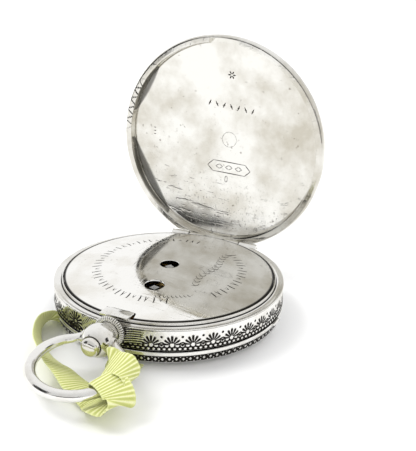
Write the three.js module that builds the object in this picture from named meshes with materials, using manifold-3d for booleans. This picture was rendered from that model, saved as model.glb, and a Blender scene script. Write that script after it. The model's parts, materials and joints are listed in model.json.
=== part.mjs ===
// Key-wind open-face pocket watch lying on its crystal, with the back cover standing open.
// Millimetres. Z = 0 is the flat of the crystal, +Z goes towards the back of the watch,
// -Y towards the pendant (12 o'clock), +Y towards the case hinge (6 o'clock).
import * as THREE from 'three';
import { mergeVertices } from 'three/addons/utils/BufferGeometryUtils.js';
import Module from 'manifold-3d';

const wasm = await Module();
wasm.setup();

// ---------------------------------------------------------------- driving dimensions
const gap = 0.3; // clearance where one piece is cut out for another
const fine = 0.15; // clearance between pieces that face each other closely
const runFit = 0.07; // radial clearance of a shaft in its hole

const wideSides = 40; // facets round the large rings

const bandR = 25; // outer radius of the case band
const bandHeight = 3.7; // from the bezel to the top of its outer ring
const bandWall = 3.2;
const bandBottom = 5.1; // where the band meets the bezel
const bandTop = bandBottom + bandHeight;
const bandInnerR = bandR - bandWall;
const lipRise = 0.62; // lip round the inner cover, above the outer ring
const lipTop = bandTop + lipRise;
const rimWidth = 1.8; // of the groove that the back cover's rim sits in
const lipR = bandR - rimWidth;
const lipWall = 0.25;

const cuvetteR = lipR - lipWall - fine; // inner cover
const cuvetteWall = 0.45;
const cuvetteRise = 2.14; // height of its dome over its edge
const cuvetteEdge = lipTop + 0.04;
const cuvetteTop = cuvetteEdge + cuvetteRise;
const settingHoleR = 2.05;
const windingHoleR = 2.1;

const coverRimZ = bandTop + 0.2; // plane of the back cover's rim when closed
const coverRimR = bandR - 0.24;
const coverWallR = bandR + 0.06;
const coverInnerR = lipR + 0.25;
const coverDepth = 2; // from its rim to its inner dome
const coverRise = 3; // its dome over the edge of its inner dome
const coverTop = coverRimZ + coverDepth + coverRise;
const coverWall = 0.75;
const coverOpen = 91.76; // degrees from closed to standing open

const catchHalf = 3.1; // half width of the lock spring's catch
const catchDepth = 2.9;
const catchOuterR = bandR - 0.9;
const catchInnerR = catchOuterR - catchDepth;
const catchThick = 0.6;
const catchTravel = 0.5;

const knuckleR = 0.8;
const pinR = 0.4;
const hingeY = bandR - 1.43; // axis of the pin that carries both covers
const hingeZ = bandTop - 0.26;
const knuckleEnds = [2.4, 6.7, 11]; // half widths of cuvette, cover and case knuckles
const knuckleGap = 0.25;

const bezelTop = bandBottom - 0.2;
const bezelBottomR = bandR - 0.6;
const bezelInnerR = bandR - 3.4;
const bezelHingeX = -bandR - 0.5; // axis of the bezel's own hinge
const bezelHingeZ = bandBottom - 0.1;
const bezelHingeHalf = 3.6;
const crystalSeatR = bezelInnerR - 0.45;
const crystalFlatR = 9.5;
const crystalShoulderR = 15;
const crystalThick = 0.9;

const plateR = bandInnerR - 0.5; // main plate of the movement
const plateBottom = bandBottom + 0.1;
const plateThick = 1;
const plateTop = plateBottom + plateThick;
const dialR = bezelInnerR - 0.7;
const dialThick = 0.7;
const dialFront = plateBottom - 1 - dialThick;
const bridgeBottom = plateTop + 2.35;
const bridgeThick = 0.6;
const bridgeTop = bridgeBottom + bridgeThick;

const ballR = 3.5;
const ballStand = 0.99; // from the band to the ball
const ballY = -bandR - ballStand - ballR; // centre of the pendant ball
const ballZ = 7.34;
const collarR = 3.3;
const collarThick = 0.75;
const neckR = 2.2;
const buttonR = 1.9;
const buttonLength = 2.2;
const buttonProud = 0.9;
const buttonTravel = 0.8;
const shaftR = 0.7;

const bowA = 8.89; // half width of the bow across the watch
const bowB = 8.07; // half length along its reach
const bowReach = bowB - 0.1; // from the ball's centre to the centre of the bow
const bowDrop = 10.34; // degrees below level
const bowWireR = 1.1;
const bowEndR = 0.8;
const bowBoreR = bowEndR + runFit;
const bowBoreDeep = ballR - 1.9; // from the ball's centre to the end of its side holes

const ribbonWidth = 3;
const ribbonThick = 0.4;

// Places of the train's arbors, seen from the back.
const barrelAt = [1.6, -10];
const thirdAt = [-4.27, 5.8];
const fourthAt = [0, 10.5];
const escapeAt = [4.4, 12.77];
const forkAt = [7.0, 10.29];
const balanceAt = [11.5, 6.0];
const clickAt = [9.3, -14.2];

// ---------------------------------------------------------------- materials
function finish(color, roughness, metalness) {
  return new THREE.MeshStandardMaterial({ color, roughness, metalness });
}

const silver = () => finish(0xd9d6cf, 0.22, 1);
const steel = () => finish(0x9fa3a8, 0.25, 1);
const blued = () => finish(0x1d2b66, 0.25, 1);
const gilt = () => finish(0xd8b25a, 0.35, 1);
const brass = () => finish(0xc9a04a, 0.35, 1);
const enamel = () => finish(0xf6f4ec, 0.2, 0);
const glass = () => finish(0xe8f2f4, 0.05, 0);
const silk = () => finish(0xc9d36a, 0.8, 0);

const rad = THREE.MathUtils.degToRad;

// ---------------------------------------------------------------- solids
const watch = new THREE.Group();

function signedVolume(position, index) {
  const a = new THREE.Vector3();
  const b = new THREE.Vector3();
  const c = new THREE.Vector3();
  let sum = 0;
  for (let i = 0; i < index.length; i += 3) {
    a.fromBufferAttribute(position, index[i]);
    b.fromBufferAttribute(position, index[i + 1]);
    c.fromBufferAttribute(position, index[i + 2]);
    sum += a.dot(b.cross(c));
  }
  return sum;
}

// A closed three.js geometry becomes a solid with its faces pointing out.
function solid(geometry) {
  const bare = geometry.clone();
  bare.deleteAttribute('normal');
  bare.deleteAttribute('uv');
  const merged = mergeVertices(bare, 1e-4);
  const source = merged.index.array;
  const index = [];
  for (let i = 0; i < source.length; i += 3) {
    const [a, b, c] = [source[i], source[i + 1], source[i + 2]];
    if (a !== b && b !== c && c !== a) index.push(a, b, c);
  }
  if (signedVolume(merged.attributes.position, index) < 0) index.reverse();
  const mesh = new wasm.Mesh({
    numProp: 3,
    vertProperties: new Float32Array(merged.attributes.position.array),
    triVerts: new Uint32Array(index),
  });
  mesh.merge();
  return new wasm.Manifold(mesh);
}

function geometryOf(body) {
  const mesh = body.getMesh();
  const geometry = new THREE.BufferGeometry();
  geometry.setAttribute('position', new THREE.BufferAttribute(mesh.vertProperties, 3));
  geometry.setIndex(new THREE.BufferAttribute(mesh.triVerts, 1));
  geometry.computeVertexNormals();
  return geometry;
}

function add(name, body, material, parent = watch) {
  const mesh = new THREE.Mesh(geometryOf(body), material);
  mesh.name = name;
  parent.add(mesh);
  return mesh;
}

// The same solid turned about X by an angle and then moved.
function placed(body, angle, move) {
  return solid(geometryOf(body).rotateX(rad(angle)).translate(...move));
}

const join = (...bodies) => bodies.reduce((all, next) => all.add(next));
const cut = (body, ...tools) => tools.reduce((rest, tool) => rest.subtract(tool), body);

// Turns a closed outline of [radius, height] points about the Z axis.
function turned(outline, segments = 64) {
  const points = outline.map(([r, z]) => new THREE.Vector2(r, z));
  const onAxis = outline[0][0] === 0 && outline[outline.length - 1][0] === 0;
  if (!onAxis) points.push(points[0].clone());
  return solid(new THREE.LatheGeometry(points, segments).rotateX(Math.PI / 2));
}

function rod(radius, low, high, at = [0, 0], sides = 16) {
  const geometry = new THREE.CylinderGeometry(radius, radius, high - low, sides);
  geometry.rotateX(Math.PI / 2).translate(at[0], at[1], (low + high) / 2);
  return solid(geometry);
}

// A rod between two points in space.
function bar(from, to, radius, sides = 16, endRadius = radius) {
  const a = new THREE.Vector3(...from);
  const b = new THREE.Vector3(...to);
  const along = b.clone().sub(a);
  const geometry = new THREE.CylinderGeometry(endRadius, radius, along.length(), sides);
  const turn = new THREE.Quaternion();
  turn.setFromUnitVectors(new THREE.Vector3(0, 1, 0), along.normalize());
  geometry.applyQuaternion(turn);
  geometry.translate((a.x + b.x) / 2, (a.y + b.y) / 2, (a.z + b.z) / 2);
  return solid(geometry);
}

function block(low, high) {
  const size = high.map((value, i) => value - low[i]);
  const geometry = new THREE.BoxGeometry(...size);
  geometry.translate(...low.map((value, i) => value + size[i] / 2));
  return solid(geometry);
}

// A plate from an outline of [x, y] points, between two heights.
function plate(outline, low, high) {
  const shape = new THREE.Shape(outline.map(([x, y]) => new THREE.Vector2(x, y)));
  const options = { depth: high - low, bevelEnabled: false, curveSegments: 6 };
  return solid(new THREE.ExtrudeGeometry(shape, options).translate(0, 0, low));
}

const polar = (r, angle, at = [0, 0]) => [
  at[0] + r * Math.cos(rad(angle)),
  at[1] + r * Math.sin(rad(angle)),
];

// A ring of points on a circle from one angle to another.
function arc(r, from, to, steps, at = [0, 0]) {
  const points = [];
  for (let i = 0; i <= steps; i += 1) points.push(polar(r, from + ((to - from) * i) / steps, at));
  return points;
}

// Points on a dome from radius r1 to r2, with the crown at the given height.
function dome(r1, r2, crown, edgeR, edgeZ, steps) {
  const rise = crown - edgeZ;
  const sphereR = (edgeR * edgeR + rise * rise) / (2 * rise);
  const points = [];
  for (let i = 0; i <= steps; i += 1) {
    const r = r1 + ((r2 - r1) * i) / steps;
    points.push([r, crown - sphereR + Math.sqrt(sphereR * sphereR - r * r)]);
  }
  return points;
}

// ---------------------------------------------------------------- hinge shared by both covers
const [cuvetteKnuckle, coverKnuckle, caseKnuckle] = knuckleEnds;

function alongPin(radius, from, to, sides = 14) {
  return bar([from, hingeY, hingeZ], [to, hingeY, hingeZ], radius, sides);
}

const pinBore = () => alongPin(pinR + runFit, -caseKnuckle - 1, caseKnuckle + 1);
const bothSides = (from, to, radius) => join(
  alongPin(radius, from, to),
  alongPin(radius, -to, -from),
);

// A knuckle with a foot that runs down onto the band.
function caseEar(from, to) {
  const shape = new THREE.Shape();
  const root = -hingeY + knuckleR + gap + 0.17;
  shape.moveTo(root, hingeZ - 0.09);
  shape.lineTo(root, hingeZ - 2.24);
  shape.lineTo(-hingeY - knuckleR * 0.86, hingeZ - knuckleR * 0.5);
  shape.absarc(-hingeY, hingeZ, knuckleR, rad(210), rad(60), true);
  const geometry = new THREE.ExtrudeGeometry(shape, {
    depth: to - from,
    bevelEnabled: false,
    curveSegments: 10,
  });
  // outline axes: first is -Y, second is Z, depth is X
  const turn = new THREE.Matrix4().makeBasis(
    new THREE.Vector3(0, -1, 0),
    new THREE.Vector3(0, 0, 1),
    new THREE.Vector3(-1, 0, 0),
  );
  return solid(geometry.applyMatrix4(turn).translate(to, 0, 0));
}

// ---------------------------------------------------------------- case
function caseBand() {
  const ledgeTop = cuvetteEdge - cuvetteWall - gap;
  const body = turned([
    [bandInnerR, plateTop + gap],
    [bandInnerR + 0.7, plateTop - 0.1],
    [bandInnerR + 0.7, bandBottom],
    [bandR - 0.1, bandBottom],
    [bandR, bandBottom + 0.15],
    [bandR, bandTop - 0.2],
    [bandR - 0.15, bandTop],
    [coverRimR - 0.2, bandTop - 0.1],
    [lipR + 0.9, bandTop - 0.22],
    [lipR + 0.4, bandTop - 0.16],
    [lipR + 0.02, bandTop + 0.05],
    [lipR, lipTop],
    [cuvetteR + fine, lipTop],
    [cuvetteR + fine, ledgeTop],
    [bandInnerR + 0.4, ledgeTop],
    [bandInnerR, ledgeTop - 0.4],
  ], wideSides);
  const sweep = bar([-9, hingeY, hingeZ], [9, hingeY, hingeZ], 2.1, 24);
  const behindPin = block([-9, hingeY, hingeZ - 3], [9, hingeY + 4, hingeZ + 3]);
  const overPin = block([-9, hingeY, hingeZ], [9, hingeY + 4, hingeZ + 3]);
  const hollow = alongPin(knuckleR + gap, -caseKnuckle - 0.15, caseKnuckle + 0.15);
  const above = block(
    [-caseKnuckle - 0.15, hingeY - knuckleR - gap, hingeZ],
    [caseKnuckle + 0.15, hingeY + 3, hingeZ + 3],
  );
  const bezelSlot = bar(
    [bezelHingeX, -bezelHingeHalf - fine, bezelHingeZ],
    [bezelHingeX, bezelHingeHalf + fine, bezelHingeZ],
    knuckleR + gap,
    16,
  );
  const opened = cut(body, sweep.intersect(behindPin), overPin, hollow, above, bezelSlot);
  const ears = join(
    caseEar(coverKnuckle + knuckleGap, caseKnuckle),
    caseEar(-caseKnuckle, -coverKnuckle - knuckleGap),
  );
  const bezelEar = join(
    bar([bezelHingeX, -1.1, bezelHingeZ], [bezelHingeX, 1.1, bezelHingeZ], knuckleR),
    block([bezelHingeX, -1.1, bezelHingeZ + fine], [0.8 - bandR, 1.1, bezelHingeZ + knuckleR]),
  );
  const bezelPin = bar(
    [bezelHingeX, -bezelHingeHalf - 1, bezelHingeZ],
    [bezelHingeX, bezelHingeHalf + 1, bezelHingeZ],
    pinR + runFit,
  );
  const neckHole = bar([0, 5 - bandR, ballZ], [0, -bandR - 1, ballZ], shaftR + 0.2, 16);
  return cut(join(opened, ears, bezelEar), pinBore(), bezelPin, neckHole);
}

// ---------------------------------------------------------------- pendant
function pendantBall() {
  const ball = new THREE.SphereGeometry(ballR, 22, 14).rotateX(Math.PI / 2);
  const sphere = solid(ball.translate(0, ballY, ballZ));
  const neck = bar([0, -bandR - gap - collarThick - 0.05, ballZ], [0, ballY, ballZ], neckR, 20);
  const bore = bar([0, 1 - bandR, ballZ], [0, ballY - 5, ballZ], shaftR + runFit, 16);
  const seatY = ballY - ballR - buttonProud + buttonLength + buttonTravel + fine;
  const socket = bar([0, seatY, ballZ], [0, ballY - 5, ballZ], buttonR + fine, 24);
  const bowHole = (side) => bar(
    [side * bowBoreDeep, ballY, ballZ],
    [side * (ballR + 2), ballY, ballZ],
    bowBoreR + 0.1,
    16,
  );
  return cut(join(sphere, neck), bore, socket, bowHole(1), bowHole(-1));
}

// Coin-edged ring between the ball and the band.
function pendantCollar() {
  const teeth = 24;
  const outline = [];
  for (let i = 0; i < teeth; i += 1) {
    outline.push(polar(collarR, (360 * i) / teeth));
    outline.push(polar(collarR - 0.22, (360 * (i + 0.5)) / teeth));
  }
  const ring = plate(outline, 0, collarThick);
  const hole = rod(shaftR + runFit + 0.05, -1, 2);
  return placed(cut(ring, hole), 90, [0, -bandR - gap, ballZ]);
}

function pushButton() {
  const cap = turned([
    [0, -buttonLength],
    [buttonR - 0.1, -buttonLength],
    [buttonR, -buttonLength + 0.15],
    [buttonR, -1.2],
    [buttonR * 0.8, -0.55],
    [buttonR * 0.4, -0.3],
    [0, -0.25],
  ], 24);
  const tip = ballY - ballR - buttonProud;
  const head = placed(cap, 90, [0, tip, ballZ]);
  const shaft = bar([0, tip + 1, ballZ], [0, 0.6 - bandR, ballZ], shaftR, 12);
  return join(head, shaft);
}

// The bow is an open ring whose ends turn in the sides of the ball.
function bowCurve() {
  const drop = rad(bowDrop);
  const points = [];
  const start = Math.asin((bowReach - 0.35) / bowB);
  const near = ballR + 1.1;
  const at = (across, reach) => new THREE.Vector3(
    across,
    ballY - reach * Math.cos(drop),
    ballZ - reach * Math.sin(drop),
  );
  points.push(at(ballR - 1.1, 0));
  points.push(at(ballR + 0.1, 0.02));
  const steps = 26;
  for (let i = 0; i <= steps; i += 1) {
    const t = -start + ((Math.PI + 2 * start) * i) / steps;
    const across = bowA * Math.cos(t);
    const front = t > 0 && t < Math.PI;
    if (front || Math.abs(across) > near) points.push(at(across, bowReach + bowB * Math.sin(t)));
  }
  points.push(at(-ballR - 0.1, 0.02));
  points.push(at(1.1 - ballR, 0));
  return new THREE.CatmullRomCurve3(points, false, 'centripetal');
}

function circleShape(radius, sides) {
  const shape = new THREE.Shape();
  shape.setFromPoints(arc(radius, 0, 360 - 360 / sides, sides - 1).map(
    ([x, y]) => new THREE.Vector2(x, y),
  ));
  return shape;
}

function bowWire() {
  const route = bowCurve();
  const geometry = new THREE.ExtrudeGeometry(circleShape(bowWireR, 8), {
    extrudePath: route,
    steps: 34,
    bevelEnabled: false,
  });
  const wire = solid(geometry);
  const clear = new THREE.SphereGeometry(ballR + fine, 22, 14).rotateX(Math.PI / 2);
  const outside = cut(wire, solid(clear.translate(0, ballY, ballZ)));
  const pivot = (side) => bar(
    [side * (bowBoreDeep + gap), ballY, ballZ],
    [side * (ballR + 0.6), ballY, ballZ],
    bowEndR,
    12,
  );
  return join(outside, pivot(1), pivot(-1));
}

// Flat ribbon threaded through the bow: centreline points and the direction of its width.
const ribbonRoute = [
  [[-16.9, -13.9, 0.3], [0.50, -0.86, 0.00]],
  [[-18.6, -14.6, 0.4], [0.50, -0.86, 0.00]],
  [[-19.1, -16.9, 1.3], [0.47, -0.84, 0.27]],
  [[-19.1, -19.1, 2.0], [0.40, -0.72, 0.56]],
  [[-18.2, -22.5, 2.6], [0.38, -0.75, 0.54]],
  [[-16.2, -26.2, 2.9], [0.40, -0.78, 0.49]],
  [[-14.0, -28.9, 2.9], [0.44, -0.79, 0.43]],
  [[-11.1, -31.4, 2.8], [0.45, -0.78, 0.43]],
  [[-8.0, -33.4, 2.6], [0.36, -0.85, 0.39]],
  [[-4.9, -35.0, 2.4], [0.27, -0.91, 0.31]],
  [[-2.0, -36.6, 2.1], [0.18, -0.96, 0.23]],
  [[0.8, -38.1, 1.8], [0.08, -0.99, 0.11]],
  [[3.2, -39.1, 1.6], [-0.02, -1.00, -0.02]],
  [[5.3, -39.8, 1.5], [-0.13, -0.98, -0.13]],
  [[8.4, -42.7, 2.9], [-0.67, -0.73, -0.13]],
  [[10.6, -42.9, 3.4], [-0.61, -0.78, -0.14]],
  [[11.9, -42.5, 4.4], [-0.55, -0.82, -0.15]],
  [[11.3, -41.6, 5.6], [-0.49, -0.86, -0.16]],
  [[9.3, -40.5, 6.7], [-0.42, -0.89, -0.16]],
  [[6.9, -39.5, 6.9], [-0.35, -0.92, -0.17]],
  [[6.3, -38.7, 5.2], [-0.27, -0.95, -0.17]],
  [[7.4, -38.2, 4.2], [-0.20, -0.96, -0.18]],
  [[8.9, -37.9, 3.9], [-0.12, -0.98, -0.18]],
  [[10.4, -37.5, 4.5], [-0.04, -0.98, -0.18]],
  [[11.1, -37.0, 5.8], [0.04, -0.98, -0.18]],
  [[10.6, -36.5, 7.2], [0.11, -0.98, -0.18]],
  [[9.2, -36.2, 8.0], [0.19, -0.97, -0.18]],
  [[5.9, -35.4, 7.0], [0.34, -0.93, -0.14]],
  [[5.2, -32.9, 5.2], [0.42, -0.88, 0.21]],
  [[4.8, -31.4, 3.1], [0.62, -0.77, 0.15]],
  [[4.3, -29.6, 1.3], [0.86, -0.51, 0.03]],
  [[3.8, -27.3, 0.5], [0.99, -0.10, 0.00]],
  [[3.3, -23.6, 0.3], [0.99, -0.10, 0.00]],
];

function ribbonTube() {
  const centre = ribbonRoute.map(([point]) => new THREE.Vector3(...point));
  const width = ribbonRoute.map(([, side]) => new THREE.Vector3(...side));
  const route = new THREE.CatmullRomCurve3(centre, false, 'centripetal');
  route.computeFrenetFrames = (steps) => {
    const frames = { tangents: [], normals: [], binormals: [] };
    for (let i = 0; i <= steps; i += 1) {
      const t = route.getUtoTmapping(i / steps);
      const tangent = route.getTangent(t);
      const place = t * (width.length - 1);
      const low = Math.min(Math.floor(place), width.length - 2);
      const side = width[low].clone().lerp(width[low + 1], place - low);
      side.addScaledVector(tangent, -side.dot(tangent)).normalize();
      frames.tangents.push(tangent);
      frames.normals.push(side);
      frames.binormals.push(tangent.clone().cross(side));
    }
    return frames;
  };
  const section = [];
  for (let i = 0; i < 8; i += 1) {
    const angle = rad(45 * i + 22.5);
    section.push(new THREE.Vector2(
      (ribbonWidth / 2) * Math.sign(Math.cos(angle)) * Math.abs(Math.cos(angle)) ** 0.4,
      (ribbonThick / 2) * Math.sign(Math.sin(angle)) * Math.abs(Math.sin(angle)) ** 0.8,
    ));
  }
  const options = { extrudePath: route, steps: 44, bevelEnabled: false };
  return solid(new THREE.ExtrudeGeometry(new THREE.Shape(section), options));
}

// ---------------------------------------------------------------- back cover and its catch
function backCover() {
  const wallTop = coverRimZ + coverDepth;
  const edgeR = coverWallR - 0.7;
  const floorR = coverInnerR - 0.55;
  const outside = dome(edgeR, 0, coverTop, edgeR, wallTop + 1.1, 4);
  const inside = dome(0, floorR, coverTop - coverWall, floorR, wallTop + 0.05, 4);
  const shell = turned([
    ...inside,
    [coverInnerR - 0.34, wallTop],
    [coverInnerR, coverRimZ],
    [coverRimR, coverRimZ],
    [coverWallR, coverRimZ + 0.4],
    [coverWallR, coverRimZ + 1.2],
    [coverWallR - 0.2, wallTop + 0.4],
    ...outside,
  ], wideSides);
  const room = join(
    alongPin(knuckleR + knuckleGap, -cuvetteKnuckle - knuckleGap, cuvetteKnuckle + knuckleGap),
    bothSides(coverKnuckle, caseKnuckle + knuckleGap, knuckleR + knuckleGap),
    block(
      [-cuvetteKnuckle - knuckleGap, hingeY - 1.4, hingeZ - 0.6],
      [cuvetteKnuckle + knuckleGap, hingeY, hingeZ + 1.25],
    ),
  );
  const foot = (from) => block(
    [from, hingeY - 0.1, hingeZ],
    [from + coverKnuckle - cuvetteKnuckle - 2 * knuckleGap, hingeY + 0.75, hingeZ + 1.2],
  );
  const catchRoom = block(
    [-catchHalf - gap, -catchOuterR - gap, coverRimZ - 1],
    [catchHalf + gap, 0, lipTop + fine + catchThick + gap],
  );
  const first = cuvetteKnuckle + knuckleGap;
  const knuckles = join(
    bothSides(first, coverKnuckle - knuckleGap, knuckleR),
    foot(first),
    foot(-coverKnuckle + knuckleGap),
  );
  return cut(join(cut(shell, room, catchRoom), knuckles), pinBore());
}

// The catch of the lock spring, a small plate on the rim beside the pendant.
function lockCatch() {
  return block(
    [-catchHalf, -catchOuterR, lipTop + fine],
    [catchHalf, -catchInnerR, lipTop + fine + catchThick],
  );
}

// ---------------------------------------------------------------- inner cover
function cuvette() {
  const rimZ = cuvetteEdge;
  const shell = turned([
    ...dome(0, cuvetteR - 0.7, cuvetteTop - cuvetteWall, cuvetteR - 0.7, rimZ - cuvetteWall, 4),
    [cuvetteR, rimZ - cuvetteWall],
    [cuvetteR, rimZ - 0.1],
    ...dome(cuvetteR - 0.15, 0, cuvetteTop, cuvetteR - 0.15, rimZ, 4),
  ], wideSides);
  const holes = [
    rod(settingHoleR, lipTop - 2, cuvetteTop + 2, [0, 0], 20),
    rod(windingHoleR, lipTop - 2, cuvetteTop + 2, barrelAt, 20),
  ];
  const flatY = hingeY - knuckleR - gap + 0.1;
  const behind = block([-8, flatY, lipTop - 2], [8, bandR + 5, cuvetteTop]);
  const tab = block(
    [-cuvetteKnuckle, flatY - 0.8, rimZ - cuvetteWall],
    [cuvetteKnuckle, hingeY, rimZ - 0.12],
  );
  const catchRoom = block(
    [-catchHalf - fine, -bandR, lipTop - 2],
    [catchHalf + fine, -catchInnerR + catchTravel + fine, cuvetteTop + 2],
  );
  const knuckle = alongPin(knuckleR, -cuvetteKnuckle, cuvetteKnuckle);
  return cut(join(cut(shell, ...holes, behind, catchRoom), tab, knuckle), pinBore());
}

// ---------------------------------------------------------------- bezel, crystal
function bezelRing() {
  const body = turned([
    [bezelInnerR, bezelTop],
    [bezelInnerR, 2.0],
    [crystalSeatR, 2.0],
    [crystalSeatR, 1.3],
    [bezelBottomR - 1.8, 0.8],
    [bezelBottomR - 0.8, 0.85],
    [bezelBottomR, 1.4],
    [bandR - 0.12, bezelTop - 1.2],
    [bandR, bezelTop - 0.9],
    [bandR, bezelTop - 0.25],
    [bandR - 0.2, bezelTop],
  ], wideSides);
  const earGap = 1.1 + knuckleGap;
  const knuckle = (from, to) => join(
    bar([bezelHingeX, from, bezelHingeZ], [bezelHingeX, to, bezelHingeZ], knuckleR),
    block([bezelHingeX, from, bezelHingeZ - knuckleR], [0.8 - bandR, to, bezelHingeZ - fine]),
  );
  const room = bar([bezelHingeX, -earGap, bezelHingeZ], [bezelHingeX, earGap, bezelHingeZ], 1.15);
  const bore = bar([bezelHingeX, -5, bezelHingeZ], [bezelHingeX, 5, bezelHingeZ], pinR + runFit);
  const lip = block([bandR - 0.6, -1.6, bezelTop - 0.7], [bandR + 0.45, 1.6, bezelTop - 0.1]);
  const knuckles = join(knuckle(earGap, bezelHingeHalf), knuckle(-bezelHingeHalf, -earGap));
  return cut(join(cut(body, room), knuckles, lip), bore);
}

function crystal() {
  const edge = bezelInnerR - fine;
  return turned([
    [0, 0],
    [crystalFlatR, 0],
    [crystalShoulderR, 0.35],
    [crystalSeatR - fine, 1.25],
    [crystalSeatR - fine, 2.0 + fine],
    [edge, 2.0 + fine],
    [edge, 2.7],
    [edge - 1.5, 2.1],
    [crystalShoulderR, 1.3],
    [crystalFlatR, crystalThick],
    [0, crystalThick],
  ], 40);
}

// ---------------------------------------------------------------- dial and hands
function dial() {
  const disc = turned([
    [0, dialFront],
    [dialR - 0.6, dialFront],
    [dialR, dialFront + 0.25],
    [dialR, dialFront + dialThick],
    [0, dialFront + dialThick],
  ], 40);
  const sunk = rod(5.2, 3, dialFront + 0.25, fourthAt, 32);
  return cut(disc, sunk, rod(1.7, 2, 6), rod(0.6, 2, 6, fourthAt, 12));
}

// A hand lies along +Y from its boss, then turns to its hour.
function hand(length, tail, half, low, high, bossR, holeR, at, angle) {
  const outline = [
    [-half * 0.6, -tail],
    [half * 0.6, -tail],
    [half * 0.6, 0],
    [half, length * 0.55],
    [half * 2.2, length * 0.68],
    [half, length * 0.8],
    [0, length],
    [-half, length * 0.8],
    [-half * 2.2, length * 0.68],
    [-half, length * 0.55],
    [-half * 0.6, 0],
  ];
  const turnTo = rad(angle);
  const spun = outline.map(([x, y]) => [
    at[0] + x * Math.cos(turnTo) - y * Math.sin(turnTo),
    at[1] + x * Math.sin(turnTo) + y * Math.cos(turnTo),
  ]);
  return cut(join(plate(spun, low, high), rod(bossR, low, high, at)), rod(holeR, low - 1, high + 1, at));
}

// ---------------------------------------------------------------- wheels
// A wheel with pointed teeth; its teeth reach from the root to the tip radius.
function toothed(teeth, rootR, tipR, low, high, at, phase = 0) {
  const outline = [];
  for (let i = 0; i < teeth; i += 1) {
    outline.push(polar(tipR, phase + (360 * i) / teeth, at));
    outline.push(polar(rootR, phase + (360 * (i + 0.5)) / teeth, at));
  }
  return plate(outline, low, high);
}

// Windows between the arms of a wheel.
function windows(arms, hubR, rimR, low, high, at) {
  const cuts = [];
  for (let i = 0; i < arms; i += 1) {
    const from = (360 * i) / arms;
    const span = 360 / arms;
    const outer = arc(rimR, from + 7, from + span - 7, 3, at);
    const inner = arc(hubR, from + span - 24, from + 24, 1, at);
    cuts.push(plate([...outer, ...inner], low - 1, high + 1));
  }
  return cuts;
}

const heading = (from, to) => (
  THREE.MathUtils.radToDeg(Math.atan2(to[1] - from[1], to[0] - from[0]))
);
const between = (a, b) => Math.hypot(a[0] - b[0], a[1] - b[1]);

// Pitch radii of a meshing pair, with thin teeth so that they run free.
function pair(teethA, teethB, distance) {
  const module = (2 * distance) / (teethA + teethB);
  const radii = (teeth) => {
    const pitch = (module * teeth) / 2;
    return { tip: pitch + 0.35 * module, root: pitch - 1.0 * module };
  };
  return [radii(teethA), radii(teethB)];
}

const centre = [0, 0];
const arborR = 0.28;
const seat = 0.02; // between faces that rest on each other
const barrelTeeth = 48;
const centreLeaves = 8;
const centreTeeth = 48;
const leaves = 6;
const thirdTeeth = 45;
const fourthTeeth = 48;
const escapeTeeth = 15;
const cannonTeeth = 10;
const minuteTeeth = 30;
const minuteLeaves = 8;
const hourTeeth = 32;

const [barrelGear, centrePinion] = pair(barrelTeeth, centreLeaves, between(barrelAt, centre));
const [centreGear, thirdPinion] = pair(centreTeeth, leaves, between(thirdAt, centre));
const [thirdGear, fourthPinion] = pair(thirdTeeth, leaves, between(thirdAt, fourthAt));
const [fourthGear, escapePinion] = pair(fourthTeeth, leaves, between(fourthAt, escapeAt));
const minuteReach = 3.2;
const minuteAt = polar(minuteReach, 200);
const [cannonGear, minuteGear] = pair(cannonTeeth, minuteTeeth, minuteReach);
const [minutePinion, hourGear] = pair(minuteLeaves, hourTeeth, minuteReach);

const barrelLow = plateTop + 0.2;
const barrelHigh = 7.85;
const centreWheelZ = [8.1, 8.35];
const ratchetZ = [bridgeTop + 0.05, bridgeTop + 0.35];
const escapeWheelZ = [7.2, 7.4];
const escapePinionZ = [6.4, 7.25];
const leverZ = [6.7, 6.95];
const rollerZ = [7.0, 7.25];
const hairspringZ = [8.15, 8.35];
const cannonZ = [4.75, 5.1];
const minuteWheelZ = [4.8, 5.05];
const minutePinionZ = [4.32, 4.85];
const hourWheelZ = [4.35, 4.6];
const windingSquareTop = 10.55;
const settingSquareTop = 10.9;
const keySquare = 1.5;
const barrelArborR = 0.6;
const clickPinR = 0.4;
const leverPinR = 0.25;
const hourPipeR = 0.92;
const springR = [1.9, 7.2];
const springThick = 0.22;
const hairspringR = [1.0, 4.2];
const hairspringThick = 0.12;
const screwRing = 6;
const thirdWheelZ = [7.25, 7.5];
const fourthWheelZ = [6.5, 6.75];
const balanceZ = [7.7, 8.0];
const setBore = 0.45;
const setR = 0.38;
const tubeR = 0.75;

// A driven pinion: a gap between its leaves faces the wheel that drives it.
function pinion(gear, count, low, high, at, driver) {
  const phase = heading(at, driver) + 180 / count;
  return toothed(count, gear.root, gear.tip, low, high, at, phase);
}

// A wheel with one tooth pointing at the pinion that it meets.
function wheel(gear, count, arms, [low, high], at, target, hubR) {
  const body = toothed(count, gear.root, gear.tip, low, high, at, heading(at, target));
  return arms ? cut(body, ...windows(arms, hubR, gear.root - 0.6, low, high, at)) : body;
}

function barrel() {
  const gear = wheel(barrelGear, barrelTeeth, 0, [barrelLow, barrelLow + 0.6], barrelAt, centre);
  const drum = rod(barrelGear.root - 0.5, barrelLow + 0.3, barrelHigh, barrelAt, 28);
  const inside = rod(barrelGear.root - 0.9, barrelLow + 0.3, barrelHigh - 0.25, barrelAt, 28);
  const holes = [rod(1.25, 5, 9, barrelAt, 16), rod(0.35, 6, 9, polar(6.2, 60, barrelAt), 8)];
  return cut(join(gear, drum), inside, ...holes);
}

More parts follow.
